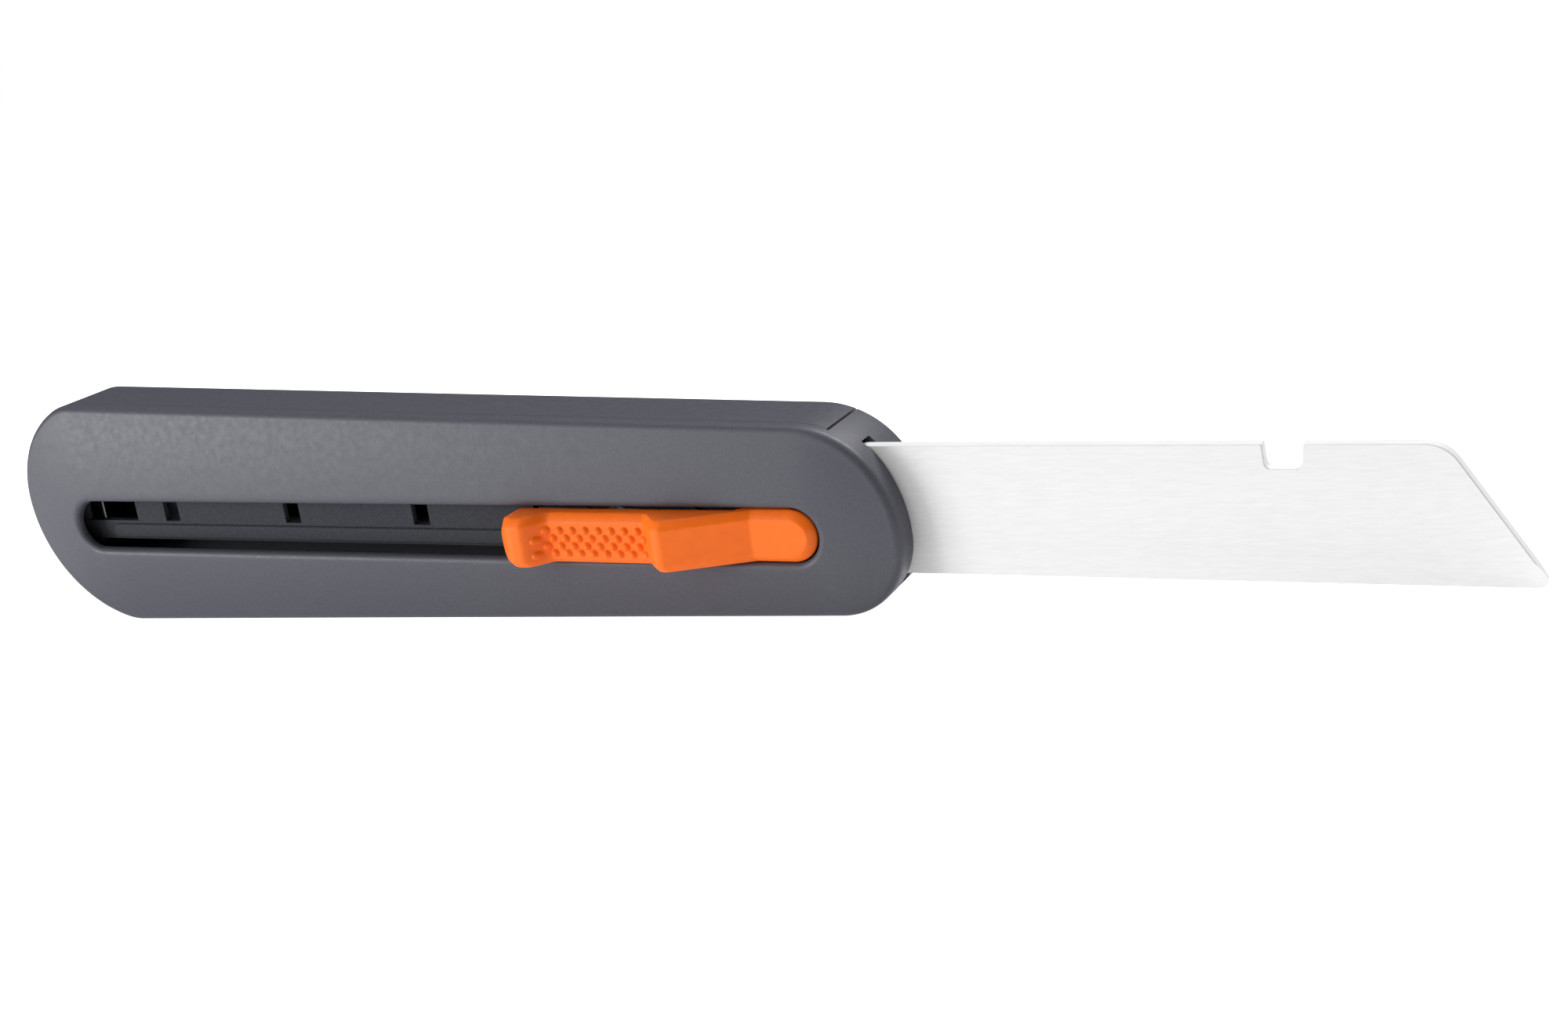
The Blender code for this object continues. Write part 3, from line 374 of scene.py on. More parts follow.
# =====================================================================
# Handle outline
# =====================================================================
def blend_arc(centre, big_radius, small_radius, line_z, slope, above):
    """Small arc inside a big arc that also touches the line z = line_z + slope * x."""
    length = math.hypot(1.0, slope)
    normal = (slope / length, -1.0 / length) if above else (-slope / length, 1.0 / length)
    offset = normal[0] * centre[0] + normal[1] * (centre[1] - line_z)
    reach = math.acos((small_radius - offset) / (big_radius - small_radius))
    return math.atan2(normal[1], normal[0]), reach


def half_outline(top, fineness=5):
    """Points and outward normals from the rear end to the nose, along the top or bottom."""
    side = 1.0 if top else -1.0
    line_z = TOP_Z if top else BOTTOM_Z
    slope = TOP_SLOPE if top else BOTTOM_SLOPE
    line_angle = math.degrees(math.atan(slope)) * side
    nose_centre = nose_arc_centre()
    rear_radii = REAR_TOP_RADII if top else REAR_BOTTOM_RADII
    nose_radii = NOSE_TOP_RADII if top else (NOSE_BOTTOM_RADIUS, NOSE_BOTTOM_RADIUS)

    rear_centre = (REAR_X + rear_radii[0], REAR_Z)
    normal_angle, reach = blend_arc(rear_centre, *rear_radii, line_z, slope, top)
    meet = abs(((math.degrees(normal_angle - side * reach) + 180.0) % 360.0) - 180.0)
    gap = rear_radii[0] - rear_radii[1]
    blend_centre = (rear_centre[0] + gap * math.cos(math.radians(meet)),
                    rear_centre[1] + side * gap * math.sin(math.radians(meet)))
    arcs = [(rear_centre, rear_radii[0], 180.0, meet, 9),
            (blend_centre, rear_radii[1], meet, 90.0 + line_angle, 6)]

    nose_big = (NOSE_X - nose_radii[0], nose_centre[1])
    if top:
        normal_angle, reach = blend_arc(nose_big, *nose_radii, line_z, slope, top)
        meet = abs(((math.degrees(normal_angle + reach) + 180.0) % 360.0) - 180.0)
        gap = nose_radii[0] - nose_radii[1]
        blend_centre = (nose_big[0] + gap * math.cos(math.radians(meet)),
                        nose_big[1] + gap * math.sin(math.radians(meet)))
        arcs.append((blend_centre, nose_radii[1], 90.0 + line_angle, meet, 9))
        arcs.append((nose_big, nose_radii[0], meet, 0.0, 5))
    else:
        arcs.append((nose_big, nose_radii[0], 90.0 + line_angle, 0.0, 14))

    points = []
    for index, (centre, radius, start, end, coarse_steps) in enumerate(arcs):
        steps = coarse_steps * fineness
        if index == 2:
            points.extend(straight_run(points[-1], centre, radius, start, side, 12 * fineness))
        for k in range(steps + 1):
            if k == 0 and index in (1, 3):
                continue
            angle = math.radians(start + (end - start) * k / steps)
            normal = (math.cos(angle), side * math.sin(angle))
            points.append(((centre[0] + radius * normal[0], centre[1] + radius * normal[1]), normal))
    return points


def nose_arc_centre():
    """Centre of the lower nose arc, which touches the bottom line."""
    centre_x = NOSE_X - NOSE_BOTTOM_RADIUS
    rise = NOSE_BOTTOM_RADIUS * math.hypot(1.0, BOTTOM_SLOPE)
    return centre_x, BOTTOM_Z + BOTTOM_SLOPE * centre_x + rise


def straight_run(last, centre, radius, angle, side, steps):
    """Points between the rear arcs and the nose arcs, both ends left out."""
    (start_x, start_z), normal = last
    turn = math.radians(angle)
    end_x = centre[0] + radius * math.cos(turn)
    end_z = centre[1] + side * radius * math.sin(turn)
    run = []
    for k in range(1, steps):
        share = k / steps
        point = (start_x + (end_x - start_x) * share, start_z + (end_z - start_z) * share)
        run.append((point, normal))
    return run


def outline_loop(fineness=5):
    """The whole outline as arrays of points and normals, starting at the rear end."""
    upper = half_outline(True, fineness)
    lower = half_outline(False, fineness)
    loop = upper + lower[-2:0:-1]
    return np.array([p for p, _ in loop]), np.array([n for _, n in loop])


def outline_ring(inset, depth, fineness=5):
    """Handle outline moved inwards; depth is a number, or a function of x and z."""
    points, normals = outline_loop(fineness)
    moved = points - normals * inset
    return [(x, depth(x, z) if callable(depth) else depth, z) for x, z in moved]


def pillow(distance):
    """How far the face falls back at a distance from the handle's outline."""
    share = np.clip(1.0 - distance / PILLOW_REACH, 0.0, 1.0)
    return PILLOW_DROP * share ** 2


def outline_distance(points):
    """Distance of each (x, z) point from the handle's outline."""
    loop, _ = outline_loop(3)
    start = loop[None, :, :]
    step = np.roll(loop, -1, axis=0)[None, :, :] - start
    offset = points[:, None, :] - start
    share = np.clip((offset * step).sum(2) / (step ** 2).sum(2), 0.0, 1.0)
    nearest = offset - share[:, :, None] * step
    return np.sqrt((nearest ** 2).sum(2)).min(1)


def handle_body(name):
    """The whole outside of the handle: pillowed face, rounded edges and flat back."""
    rings = []
    fillet_steps = 8
    edge_drop = float(pillow(FACE_FILLET))
    for k in range(fillet_steps + 1):
        angle = 0.5 * math.pi * k / fillet_steps
        inset = FACE_FILLET * (1.0 - math.sin(angle))
        rings.append(outline_ring(inset, edge_drop + FACE_FILLET * (1.0 - math.cos(angle))))
    back_steps = 4
    for k in range(back_steps + 1):
        angle = 0.5 * math.pi * k / back_steps
        inset = BACK_FILLET * (1.0 - math.cos(angle))
        rings.append(outline_ring(inset, HANDLE_DEPTH - BACK_FILLET * (1.0 - math.sin(angle))))
    return crowned_body(name, rings, pillow, 28)


def crowned_body(name, rings, crown, rung_steps):
    """Closed body whose first ring is capped by a grid with the depth crown(distance)."""
    verts, faces = skin(rings)
    count = len(rings[0])
    faces += ladder(list(range(len(verts) - count, len(verts))))
    half = count // 2
    columns = [[0] * (rung_steps + 1)]
    for i in range(1, half):
        top = np.array(rings[0][i])
        bottom = np.array(rings[0][count - i])
        inner = top + (bottom - top) * (np.arange(1, rung_steps) / rung_steps)[:, None]
        first = len(verts)
        verts.extend(inner.tolist())
        columns.append([i, *range(first, first + rung_steps - 1), count - i])
    columns.append([half] * (rung_steps + 1))
    grid_start = len(rings) * count
    inner = np.array(verts[grid_start:])
    inner[:, 1] = crown(outline_distance(inner[:, [0, 2]]))
    verts[grid_start:] = inner.tolist()
    for left, right in zip(columns, columns[1:]):
        for j in range(rung_steps):
            corners = [left[j], left[j + 1], right[j + 1], right[j]]
            faces.append(list(dict.fromkeys(corners)))
    return make_object(name, verts, faces)


def hollow_front(distance):
    """Front of the hollow behind the pillowed face."""
    return np.maximum(WALL, pillow(distance) + EDGE_WALL)


def handle_cavity(name):
    """The hollow inside both shells."""
    front = float(hollow_front(WALL))
    rings = [outline_ring(WALL, front, 2), outline_ring(WALL, HANDLE_DEPTH - WALL, 2)]
    return crowned_body(name, rings, hollow_front, 18)


def cover_plan(clearance, seam_x):
    """Plan of the back cover's zone, with room for the two hinge posts."""
    margin = PLAN_MARGIN
    post_x = POST_X + clearance
    low_post, high_post = POSTS_Z
    return [
        (seam_x, -margin),
        (seam_x, margin),
        (-margin, margin),
        (-margin, high_post[1] + clearance),
        (post_x, high_post[1] + clearance),
        (post_x, high_post[0] - clearance),
        (-margin, high_post[0] - clearance),
        (-margin, low_post[1] + clearance),
        (post_x, low_post[1] + clearance),
        (post_x, low_post[0] - clearance),
        (-margin, low_post[0] - clearance),
        (-margin, -margin),
    ]


def stadium(x_rear, x_front, half_height, arc_steps, line_steps):
    """Rounded bar in the XZ plane, starting at its rear end and running over the top."""
    upper = []
    for k in range(arc_steps + 1):
        angle = math.radians(180.0 - 90.0 * k / arc_steps)
        upper.append((x_rear + half_height * math.cos(angle), half_height * math.sin(angle)))
    for k in range(1, line_steps):
        upper.append((x_rear + (x_front - x_rear) * k / line_steps, half_height))
    for k in range(arc_steps + 1):
        angle = math.radians(90.0 - 90.0 * k / arc_steps)
        upper.append((x_front + half_height * math.cos(angle), half_height * math.sin(angle)))
    return upper + [(x, -z) for x, z in upper[-2:0:-1]]


def slot_cutter():
    """Stadium-shaped slot whose rounded rim follows the pillowed face."""
    steps = 6
    levels = [(SLOT_HALF_HEIGHT + SLOT_RIM, -1.0, False)]
    for k in range(steps + 1):
        angle = 0.5 * math.pi * k / steps
        half = SLOT_HALF_HEIGHT + SLOT_RIM * (1.0 - math.sin(angle))
        levels.append((half, SLOT_RIM * (1.0 - math.cos(angle)), True))
    levels.append((SLOT_HALF_HEIGHT, WALL + 2.0, False))
    rings = []
    for half, y, follows in levels:
        plan = np.array(stadium(SLOT_REAR_X, SLOT_LENGTH, half, 20, 40))
        drop = pillow(outline_distance(plan)) if follows else np.zeros(len(plan))
        rings.append([(x, y + d - 0.001, z) for (x, z), d in zip(plan, drop)])
    return loft("slot_cutter", rings)


# =====================================================================
# Shells
# =====================================================================
def build_front_shell(material):
    shell = handle_body("front_shell_fine")
    zone = prism("cover_zone", cover_plan(0.0, SEAM_X), "y",
                 PARTING_Y - 0.5 * PARTING_GAP, HANDLE_DEPTH + PAST)
    hollow = handle_cavity("front_hollow")
    hollow_plan = cover_plan(HOLLOW_MARGIN, SEAM_X - HOLLOW_MARGIN)
    carve(hollow, "INTERSECT", prism("bound", hollow_plan, "y", -PAST, HANDLE_DEPTH + PAST))
    mouth = box("mouth", (SEAM_X - MOUTH_REACH, NOSE_X + MOUTH_REACH), MOUTH_Y, MOUTH_Z)
    carve(shell, "DIFFERENCE", zone, hollow, slot_cutter(), mouth)
    top_y = TRACK_Y[0] - POST_GAP
    for x, z in TRACK_SCREWS:
        root_y = float(hollow_front(outline_distance(np.array([[x, z]])))[0]) - BOSS_ROOT
        profile = ((root_y, 0.0), (root_y, BOSS_RADIUS), (top_y, BOSS_RADIUS),
                   (top_y, BOSS_HOLE_RADIUS), (BOSS_FLOOR_Y, BOSS_HOLE_RADIUS), (BOSS_FLOOR_Y, 0.0))
        carve(shell, "UNION", turned("boss", profile, "y", (x, z), 32))
    carve(shell, "DIFFERENCE", post_corner(), hinge_hole())
    soften(shell, SHELL_CREASE)
    return place(shell, "handle", "front_shell", material)


def post_corner():
    """Rounds the hinge posts about the pin."""
    reach = 2.0 * POST_ROUND
    steps = 24
    corner = []
    for k in range(steps + 1):
        angle = 0.5 * math.pi * k / steps
        corner.append((HINGE_X + POST_ROUND * math.cos(angle), HINGE_Y + POST_ROUND * math.sin(angle)))
    corner.append((HINGE_X, HINGE_Y + reach))
    corner.append((HINGE_X + reach, HINGE_Y + reach))
    corner.append((HINGE_X + reach, HINGE_Y))
    return prism("post_corner", corner, "z", POSTS_Z[0][0] - POST_GAP, POSTS_Z[1][1] + POST_GAP)


def hinge_hole():
    """Hole for the hinge pin, blind at the lower post."""
    low = POSTS_Z[0][0] + PIN_FLOOR
    high = POSTS_Z[1][1] + PAST
    return rod("hinge_hole", "z", (HINGE_X, HINGE_Y), HINGE_HOLE_RADIUS, low, high)


def build_back_cover(material):
    cover = handle_body("back_cover_fine")
    plan = cover_plan(POST_GAP, SEAM_X - SEAM_GAP)
    carve(cover, "INTERSECT",
          prism("cover_bound", plan, "y", PARTING_Y + 0.5 * PARTING_GAP, HANDLE_DEPTH + PAST))
    carve(cover, "DIFFERENCE", handle_cavity("cover_hollow"))
    low = POSTS_Z[0][1] + POST_GAP
    high = POSTS_Z[1][0] - POST_GAP
    carve(cover, "UNION", rod("knuckle", "z", (HINGE_X, HINGE_Y), KNUCKLE_RADIUS, low, high))
    carve(cover, "DIFFERENCE", hinge_hole())
    soften(cover, SHELL_CREASE)
    return place(cover, "cover", "back_cover", material)


def build_track_plate(material):
    """Plate behind the slot: rounded guide rail, detent windows and the passage."""
    rings = [outline_ring(WALL + TRACK_INSET, y, 2) for y in TRACK_Y]
    plate = loft("track_plate_fine", rings)
    top_corner = TRACK_REAR[-1][0]
    low_corner = TRACK_REAR_LOW[0][0]
    plan = TRACK_REAR + ((top_corner, PLAN_MARGIN), (TRACK_FRONT_X, PLAN_MARGIN),
                         (TRACK_FRONT_X, -PLAN_MARGIN), (low_corner, -PLAN_MARGIN)) + TRACK_REAR_LOW
    carve(plate, "INTERSECT", prism("track_bound", plan, "y", *THROUGH_TRACK_Y))
    carve(plate, "UNION", guide_rail())
    half = 0.5 * WINDOW_WIDTH
    for x in WINDOW_X:
        carve(plate, "DIFFERENCE", box("window", (x - half, x + half), THROUGH_TRACK_Y, WINDOW_Z))
    carve(plate, "DIFFERENCE",
          box("pocket", REAR_POCKET_X, THROUGH_TRACK_Y, WINDOW_Z),
          box("passage", PASSAGE_X, THROUGH_TRACK_Y, PASSAGE_Z))
    for x, z in TRACK_SCREWS:
        carve(plate, "DIFFERENCE", rod("hole", "y", (x, z), TRACK_HOLE_RADIUS, *THROUGH_TRACK_Y))
    soften(plate, SHELL_CREASE)
    return place(plate, "handle", "track_plate", material)


def guide_rail():
    """Rail with rounded shoulders along the plate."""
    middle = 0.5 * (RAIL_Z[0] + RAIL_Z[1])
    half = 0.5 * (RAIL_Z[1] - RAIL_Z[0])
    round_in = RAIL_ROUND
    steps = 6
    rings = []
    for k in range(steps + 1):
        angle = 0.5 * math.pi * k / steps
        inset = round_in * (1.0 - math.sin(angle))
        y = RAIL_Y + round_in * (1.0 - math.cos(angle))
        plan = stadium(0.0, RAIL_END_X, half - inset, 12, 8)
        rings.append([(x, y, z + middle) for x, z in plan])
    plan = stadium(0.0, RAIL_END_X, half, 12, 8)
    rings.append([(x, TRACK_Y[0] + 0.4, z + middle) for x, z in plan])
    return loft("rail", rings)


# =====================================================================
# Slider button
# =====================================================================
def smooth_step(x, start, end):
    share = min(max((x - start) / (end - start), 0.0), 1.0)
    return share * share * (3.0 - 2.0 * share)


def button_crown(x):
    """Outer surface of the button along its length; negative is out of the face."""
    lip = -LIP_HEIGHT * smooth_step(x, *LIP_X)
    dip = (LIP_HEIGHT - PAD_HEIGHT) * smooth_step(x, *DIP_X)
    ridge = (PAD_HEIGHT - RIDGE_HEIGHT) * smooth_step(x, *RIDGE_X)
    ramp_share = min(max((x - RAMP_X[0]) / (RAMP_X[1] - RAMP_X[0]), 0.0), 1.0)
    return lip + dip + ridge + (BUTTON_FRONT_Y + RIDGE_HEIGHT) * ramp_share


def button_floor(x):
    """Underside of the button, with the deeper boss for its pivot pin."""
    boss = smooth_step(x, *BOSS_START_X) - smooth_step(x, *BOSS_END_X)
    return BUTTON_FLOOR_Y + PIVOT_BOSS_DEPTH * boss


def dimple_rise(x, z):
    """Height of the grip dimples at a point of the pad."""
    for row_x, row_z in DIMPLE_ROWS:
        if abs(z - row_z) > DIMPLE_RADIUS:
            continue
        index = round((x - row_x) / DIMPLE_PITCH)
        centre_x = row_x + index * DIMPLE_PITCH
        if index < 0 or centre_x > DIMPLE_END_X:
            continue
        reach = math.hypot(x - centre_x, z - row_z) / DIMPLE_RADIUS
        if reach < 1.0:
            return DIMPLE_HEIGHT * (1.0 - reach ** 2) ** 0.8
    return 0.0


def build_button(material):
    """Finger slider: raised rear lip, dimpled pad, ridge, ramp and flush front."""
    radius = BUTTON_HALF_HEIGHT
    rear_centre = BUTTON_REAR_X + radius
    arc_steps = 24
    pad_start, pad_end = DIMPLED_X
    stations = np.concatenate([
        np.arange(rear_centre + COARSE_STEP, pad_start, COARSE_STEP),
        np.arange(pad_start, pad_end, FINE_STEP),
        np.arange(pad_end, SLOT_LENGTH - 0.2, COARSE_STEP)])

    def ring(inset, depth):
        """Plan of the slider moved inwards, with a depth along its length."""
        half = []
        inner = radius - inset
        for k in range(arc_steps + 1):
            angle = math.radians(180.0 - 90.0 * k / arc_steps)
            half.append((rear_centre + inner * math.cos(angle), inner * math.sin(angle)))
        half.extend((x, inner) for x in stations)
        for k in range(arc_steps + 1):
            angle = math.radians(90.0 - 90.0 * k / arc_steps)
            half.append((SLOT_LENGTH + inner * math.cos(angle), inner * math.sin(angle)))
        loop = half + [(x, -z) for x, z in half[-2:0:-1]]
        return [(x, depth(x), z) for x, z in loop]

    def lowered(share):
        """Depth below the crown as a share of the chamfer."""
        return lambda x: button_crown(x) + share * BUTTON_CHAMFER

    rings = [
        ring(BUTTON_CHAMFER + 0.1, button_crown),
        ring(BUTTON_CHAMFER - 0.08, lowered(0.04)),
        ring(0.2, lowered(0.85)),
        ring(0.06, lowered(0.98)),
        ring(0.0, lowered(1.15)),
        ring(0.0, lambda x: max(button_floor(x) - 0.3, button_crown(x) + 1.3 * BUTTON_CHAMFER)),
        ring(0.3, lambda x: max(button_floor(x), button_crown(x) + 1.5 * BUTTON_CHAMFER)),
    ]
    verts, faces = skin(rings)
    count = len(rings[0])
    faces += ladder(list(range(len(verts) - count, len(verts))))
    half = count // 2
    rung_steps = 56
    columns = [[0] * (rung_steps + 1)]
    for i in range(1, half):
        top = np.array(rings[0][i])
        bottom = np.array(rings[0][count - i])
        column = [i]
        for share in np.arange(1, rung_steps) / rung_steps:
            x, y, z = top + (bottom - top) * share
            column.append(len(verts))
            verts.append((x, y - dimple_rise(x, z), z))
        columns.append(column + [count - i])
    columns.append([half] * (rung_steps + 1))
    for left, right in zip(columns, columns[1:]):
        for j in range(rung_steps):
            corners = [left[j], left[j + 1], right[j + 1], right[j]]
            faces.append(list(dict.fromkeys(corners)))
    button = make_object("slider_button_fine", verts, faces)
    carve(button, "DIFFERENCE",
          rod("pin_hole", "z", (PIVOT_X, PIVOT_Y), PIN_HOLE_RADIUS, -radius - 1.0, radius + 1.0))
    soften(button, SLIDER_CREASE)
    return place(button, "button", "slider_button", material)


# =====================================================================
# Blade
# =====================================================================
def blade_half_outline(inset):
    """Corners of the blade's front half, from the tip to the notch, moved inwards."""
    top_x = BLADE_TIP_X - BLADE_SLANT
    floor_z = BLADE_TOP_Z - NOTCH_DEPTH
    return [
        (BLADE_TIP_X - inset, BLADE_EDGE_Z, BLADE_TIP_RADIUS),
        (top_x - inset, BLADE_TOP_Z - inset, BLADE_SHOULDER_RADIUS),
        (NOTCH_X[1] + inset, BLADE_TOP_Z - inset, NOTCH_LIP_RADIUS),
        (NOTCH_X[1] - NOTCH_LIP_RADIUS + inset, floor_z - inset, NOTCH_FLOOR_RADIUS),
        (NOTCH_X[0] + NOTCH_LIP_RADIUS - inset, floor_z - inset, NOTCH_FLOOR_RADIUS),
        (NOTCH_X[0] - inset, BLADE_TOP_Z - inset, NOTCH_LIP_RADIUS),
    ]


def build_blade(material):
    """Double-ended ceramic blade with softened edges and a bevel on both sides."""
    middle = 0.5 * (BLADE_TIP_X + BLADE_END_X)
    rings = []
    low, high = BLADE_Y
    for inset, y in ((BLADE_ARRIS, low), (0.0, low + BLADE_ARRIS), (0.0, high - BLADE_ARRIS),
                     (BLADE_ARRIS, high)):
        half = blade_half_outline(inset)
        mirrored = [(2.0 * middle - x, z, radius) for x, z, radius in reversed(half)]
        rings.append([(x, y, z) for x, z in rounded(half + mirrored, 10)])
    verts, faces = skin(rings)
    count = len(rings[0])
    faces.append(range(count))
    faces.append(range(3 * count, 4 * count))
    blade = make_object("ceramic_blade_fine", verts, faces)
    middle_y = 0.5 * (low + high)
    low_z = BLADE_EDGE_Z - 1.0
    for side, face_y in ((-1.0, low), (1.0, high)):
        land_y = middle_y + side * EDGE_LAND
        wedge = [
            (face_y, BLADE_BEVEL_Z),
            (face_y + side, BLADE_BEVEL_Z),
            (face_y + side, low_z),
            (land_y, low_z),
            (land_y, BLADE_EDGE_Z),
        ]
        carve(blade, "DIFFERENCE", prism("bevel", wedge, "x", BLADE_END_X - PAST, BLADE_TIP_X + PAST))
    soften(blade, BLADE_CREASE)
    return place(blade, "carriage", "ceramic_blade", material)


# =====================================================================
# Materials
# =====================================================================
class Surface:
    """Principled material whose colour, roughness and bump come from object-space noise."""

    def __init__(self, name, colour, roughness, metallic=0.0, specular=0.5):
        self.material = bpy.data.materials.new(name)
        self.material.use_nodes = True
        self.tree = self.material.node_tree
        self.shader = self.tree.nodes["Principled BSDF"]
        self.shader.inputs["Base Color"].default_value = (*colour, 1.0)
        self.shader.inputs["Roughness"].default_value = roughness
        self.shader.inputs["Metallic"].default_value = metallic
        self.shader.inputs["Specular IOR Level"].default_value = specular
        self.colour = colour
        self.coords = self.tree.nodes.new("ShaderNodeTexCoord")
        self.bump_count = 0

    def noise(self, scale, detail=3.0, roughness=0.5, stretch=(1.0, 1.0, 1.0), tilt=0.0):
        mapping = self.tree.nodes.new("ShaderNodeMapping")
        mapping.inputs["Scale"].default_value = stretch
        mapping.inputs["Rotation"].default_value = (0.0, tilt, 0.0)
        noise = self.tree.nodes.new("ShaderNodeTexNoise")
        noise.inputs["Scale"].default_value = scale
        noise.inputs["Detail"].default_value = detail
        noise.inputs["Roughness"].default_value = roughness
        self.tree.links.new(self.coords.outputs["Object"], mapping.inputs["Vector"])
        self.tree.links.new(mapping.outputs["Vector"], noise.inputs["Vector"])
        return noise.outputs["Fac"]

    def ranged(self, value, low, high, source=(0.3, 0.7)):
        node = self.tree.nodes.new("ShaderNodeMapRange")
        node.inputs["From Min"].default_value = source[0]
        node.inputs["From Max"].default_value = source[1]
        node.inputs["To Min"].default_value = low
        node.inputs["To Max"].default_value = high
        self.tree.links.new(value, node.inputs["Value"])
        return node.outputs["Result"]

    def mottle(self, value, dark, light, source=(0.3, 0.7)):
        """Colour between two tones, each a factor on the material's colour."""
        ramp = self.tree.nodes.new("ShaderNodeMix")
        ramp.data_type = "RGBA"
        ramp.inputs["A"].default_value = (*[min(c * dark, 1.0) for c in self.colour], 1.0)
        ramp.inputs["B"].default_value = (*[min(c * light, 1.0) for c in self.colour], 1.0)
        self.tree.links.new(self.ranged(value, 0.0, 1.0, source), ramp.inputs["Factor"])
        self.tree.links.new(ramp.outputs["Result"], self.shader.inputs["Base Color"])

    def vary_roughness(self, value, low, high):
        self.tree.links.new(self.ranged(value, low, high), self.shader.inputs["Roughness"])

    def bump(self, value, distance, strength=1.0):
        node = self.tree.nodes.new("ShaderNodeBump")
        node.inputs["Strength"].default_value = strength
        node.inputs["Distance"].default_value = distance
        self.tree.links.new(value, node.inputs["Height"])
        shader_normal = self.shader.inputs["Normal"]
        if shader_normal.is_linked:
            self.tree.links.new(shader_normal.links[0].from_socket, node.inputs["Normal"])
        self.tree.links.new(node.outputs["Normal"], shader_normal)


def shell_material():
    """Matte moulded plastic with a fine spark-eroded grain."""
    surface = Surface("shell_plastic", (0.076, 0.078, 0.097), 0.5, specular=0.4)
    surface.mottle(surface.noise(2600.0, 4.0), 0.93, 1.07)
    surface.vary_roughness(surface.noise(900.0, 3.0), 0.42, 0.52)
    surface.bump(surface.noise(3200.0, 3.0), 0.00002)
    return surface.material


def slider_material():
    surface = Surface("slider_plastic", (0.97, 0.165, 0.008), 0.42, specular=0.28)
    surface.mottle(surface.noise(700.0, 4.0), 0.96, 1.04)
    surface.vary_roughness(surface.noise(1400.0), 0.38, 0.5)
    surface.bump(surface.noise(2600.0, 3.0), 0.00001)
    return surface.material


def blade_material():
    """Ground white ceramic: faint streaks along the blade."""
    surface = Surface("blade_ceramic", (0.83, 0.83, 0.828), 0.5, specular=0.3)
    streaks = surface.noise(2200.0, 6.0, 0.65, (0.12, 1.0, 1.0), -0.0381)
    surface.mottle(streaks, 0.95, 1.02)
    surface.vary_roughness(surface.noise(1500.0, 3.0, 0.5, (0.2, 1.0, 1.0)), 0.42, 0.58)
    surface.bump(streaks, 0.000015)
    return surface.material


def inner_material():
    surface = Surface("inner_plastic", (0.045, 0.047, 0.055), 0.55, specular=0.06)
    surface.mottle(surface.noise(1800.0, 4.0), 0.85, 1.15)
    surface.vary_roughness(surface.noise(900.0), 0.5, 0.65)
    surface.bump(surface.noise(2800.0), 0.00001)
    return surface.material


def steel_material():
    surface = Surface("rolled_steel", (0.6, 0.6, 0.62), 0.3, metallic=1.0)
    grain = surface.noise(1200.0, 5.0, 0.6, (0.1, 1.0, 1.0))
    surface.mottle(grain, 0.88, 1.05)
    surface.vary_roughness(grain, 0.22, 0.42)
    surface.bump(grain, 0.000004)
    return surface.material


# =====================================================================
# Studio
# =====================================================================
def build_camera():
    data = bpy.data.cameras.new("camera")
    data.lens = CAMERA_LENS
    data.sensor_width = 36.0
    data.clip_start = 0.01
    data.clip_end = 20.0
    camera = bpy.data.objects.new("camera", data)
    bpy.context.scene.collection.objects.link(camera)
    azimuth = math.radians(CAMERA_AZIMUTH)
    elevation = math.radians(CAMERA_ELEVATION)
    back = Vector((math.sin(azimuth) * math.cos(elevation),
                   -math.cos(azimuth) * math.cos(elevation),
                   math.sin(elevation)))
    turn = (-back).to_track_quat("-Z", "Y").to_matrix()
    roll = Matrix.Rotation(-math.radians(CAMERA_DIP), 3, "Z")
    camera.matrix_world = Matrix.Translation(CAMERA_PLACE) @ (turn @ roll).to_4x4()
    bpy.context.scene.camera = camera


def area_light(name, azimuth, elevation, distance, size, power):
    """Square soft light aimed at the handle from a compass direction, 0 being the front."""
    data = bpy.data.lights.new(name, "AREA")
    data.size = size
    data.energy = power
    light = bpy.data.objects.new(name, data)
    bpy.context.scene.collection.objects.link(light)
    a = math.radians(azimuth)
    e = math.radians(elevation)
    back = Vector((math.sin(a) * math.cos(e), -math.cos(a) * math.cos(e), math.sin(e)))
    light.location = back * distance + Vector((0.0, 0.0, 0.02))
    light.rotation_mode = "QUATERNION"
    light.rotation_quaternion = (-back).to_track_quat("-Z", "Y")
    return light


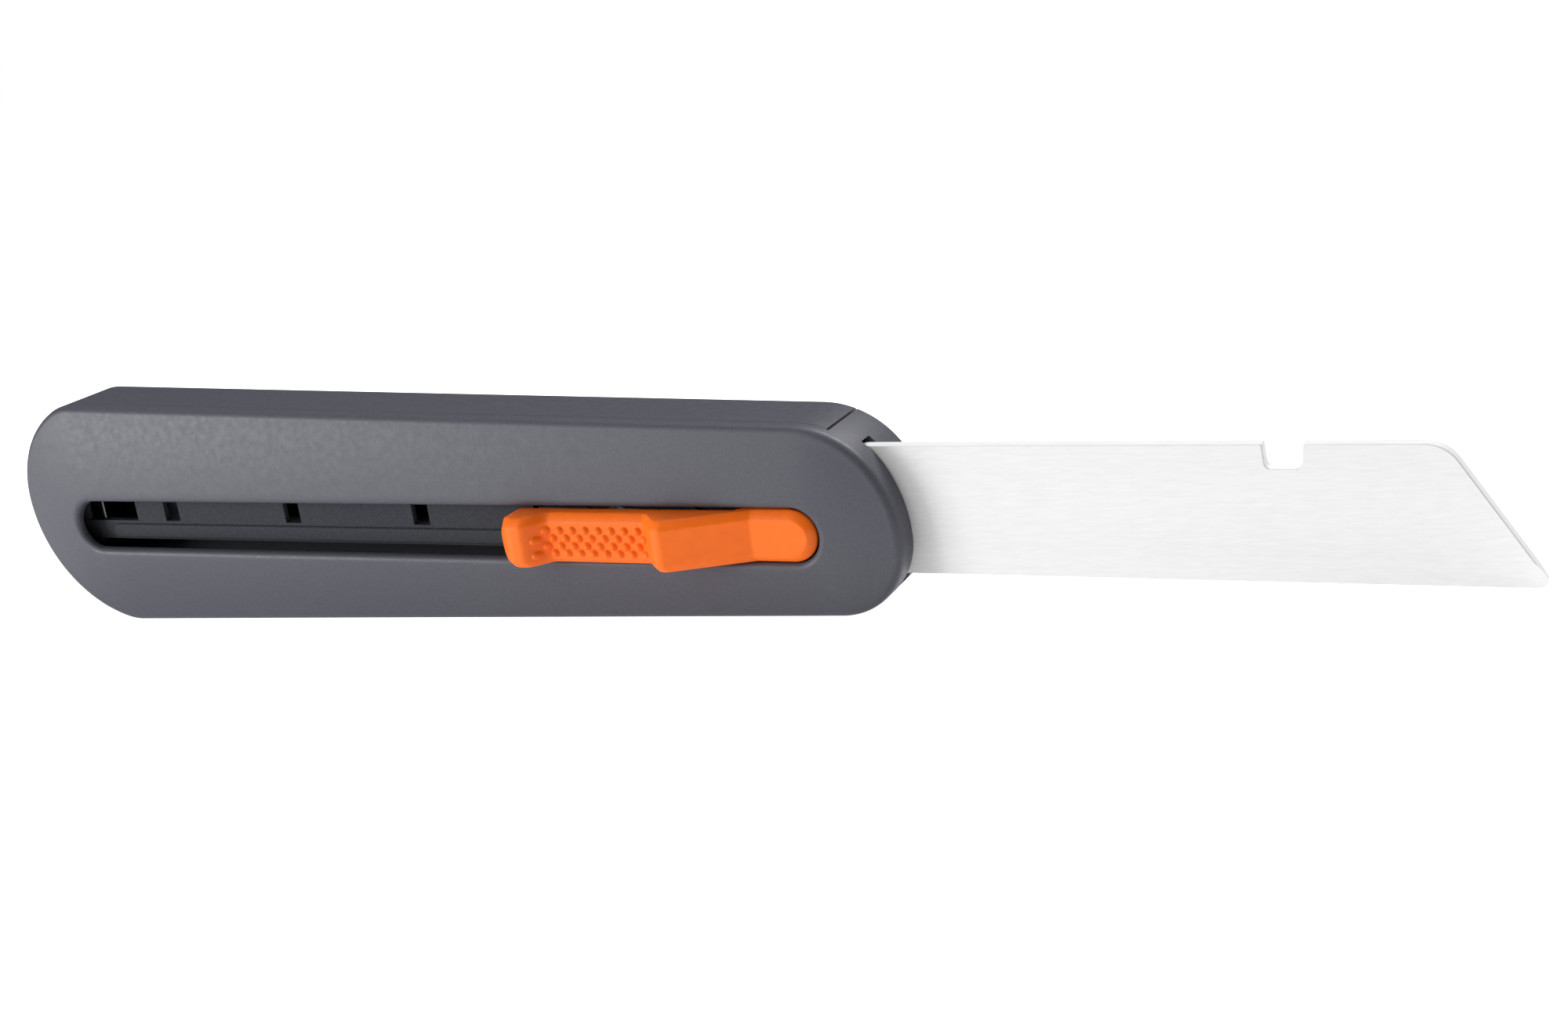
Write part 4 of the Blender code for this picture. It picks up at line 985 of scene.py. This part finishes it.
def build_studio():
    bpy.context.scene.view_settings.view_transform = "Standard"
    world = bpy.data.worlds.new("studio")
    bpy.context.scene.world = world
    world.use_nodes = True
    nodes = world.node_tree.nodes
    links = world.node_tree.links
    nodes["Background"].inputs["Color"].default_value = (1.0, 1.0, 1.0, 1.0)
    nodes["Background"].inputs["Strength"].default_value = WORLD_GLOW
    seen = nodes.new("ShaderNodeBackground")
    seen.inputs["Color"].default_value = (1.0, 1.0, 1.0, 1.0)
    seen.inputs["Strength"].default_value = 1.0
    path = nodes.new("ShaderNodeLightPath")
    mix = nodes.new("ShaderNodeMixShader")
    links.new(path.outputs["Is Camera Ray"], mix.inputs["Fac"])
    links.new(nodes["Background"].outputs["Background"], mix.inputs[1])
    links.new(seen.outputs["Background"], mix.inputs[2])
    links.new(mix.outputs["Shader"], nodes["World Output"].inputs["Surface"])
    for name, azimuth, elevation, power in STUDIO_LIGHTS:
        area_light(name, azimuth, elevation, LIGHT_DISTANCE, LIGHT_SIZE, power)


def build_floor():
    """Pale floor that is plain white for the camera and lights the knife from below."""
    half = 3.0
    corners = [(-half, -half, 0.0), (half, -half, 0.0), (half, half, 0.0), (-half, half, 0.0)]
    mesh = bpy.data.meshes.new("floor")
    mesh.from_pydata(corners, [], [(0, 1, 2, 3)])
    floor = bpy.data.objects.new("floor", mesh)
    bpy.context.scene.collection.objects.link(floor)
    surface = Surface("floor_paper", (0.8, 0.8, 0.8), 0.9, specular=0.0)
    surface.mottle(surface.noise(60.0), 0.98, 1.02)
    surface.shader.inputs["Emission Color"].default_value = (1.0, 1.0, 1.0, 1.0)
    tree = surface.tree
    path = tree.nodes.new("ShaderNodeLightPath")
    glow = tree.nodes.new("ShaderNodeMapRange")
    glow.inputs["To Min"].default_value = FLOOR_GLOW
    glow.inputs["To Max"].default_value = FLOOR_SEEN
    tree.links.new(path.outputs["Is Camera Ray"], glow.inputs["Value"])
    tree.links.new(glow.outputs["Result"], surface.shader.inputs["Emission Strength"])
    mesh.materials.append(surface.material)


# =====================================================================
# Assembly
# =====================================================================
def dress_cad_nodes(materials):
    """Give every remaining CAD node the material of its slot."""
    for part in frame["record"]["subparts"]:
        node = frame["nodes"][part["node"]]
        node.data.materials.clear()
        node.data.materials.append(materials[part["material_slot"]])


def main():
    materials = {
        "shell": shell_material(),
        "slider": slider_material(),
        "blade": blade_material(),
        "inner_plastic": inner_material(),
        "steel": steel_material(),
    }
    dress_cad_nodes(materials)
    build_front_shell(materials["shell"])
    build_back_cover(materials["shell"])
    build_track_plate(materials["inner_plastic"])
    build_button(materials["slider"])
    build_blade(materials["blade"])
    build_studio()
    build_floor()
    build_camera()


main()
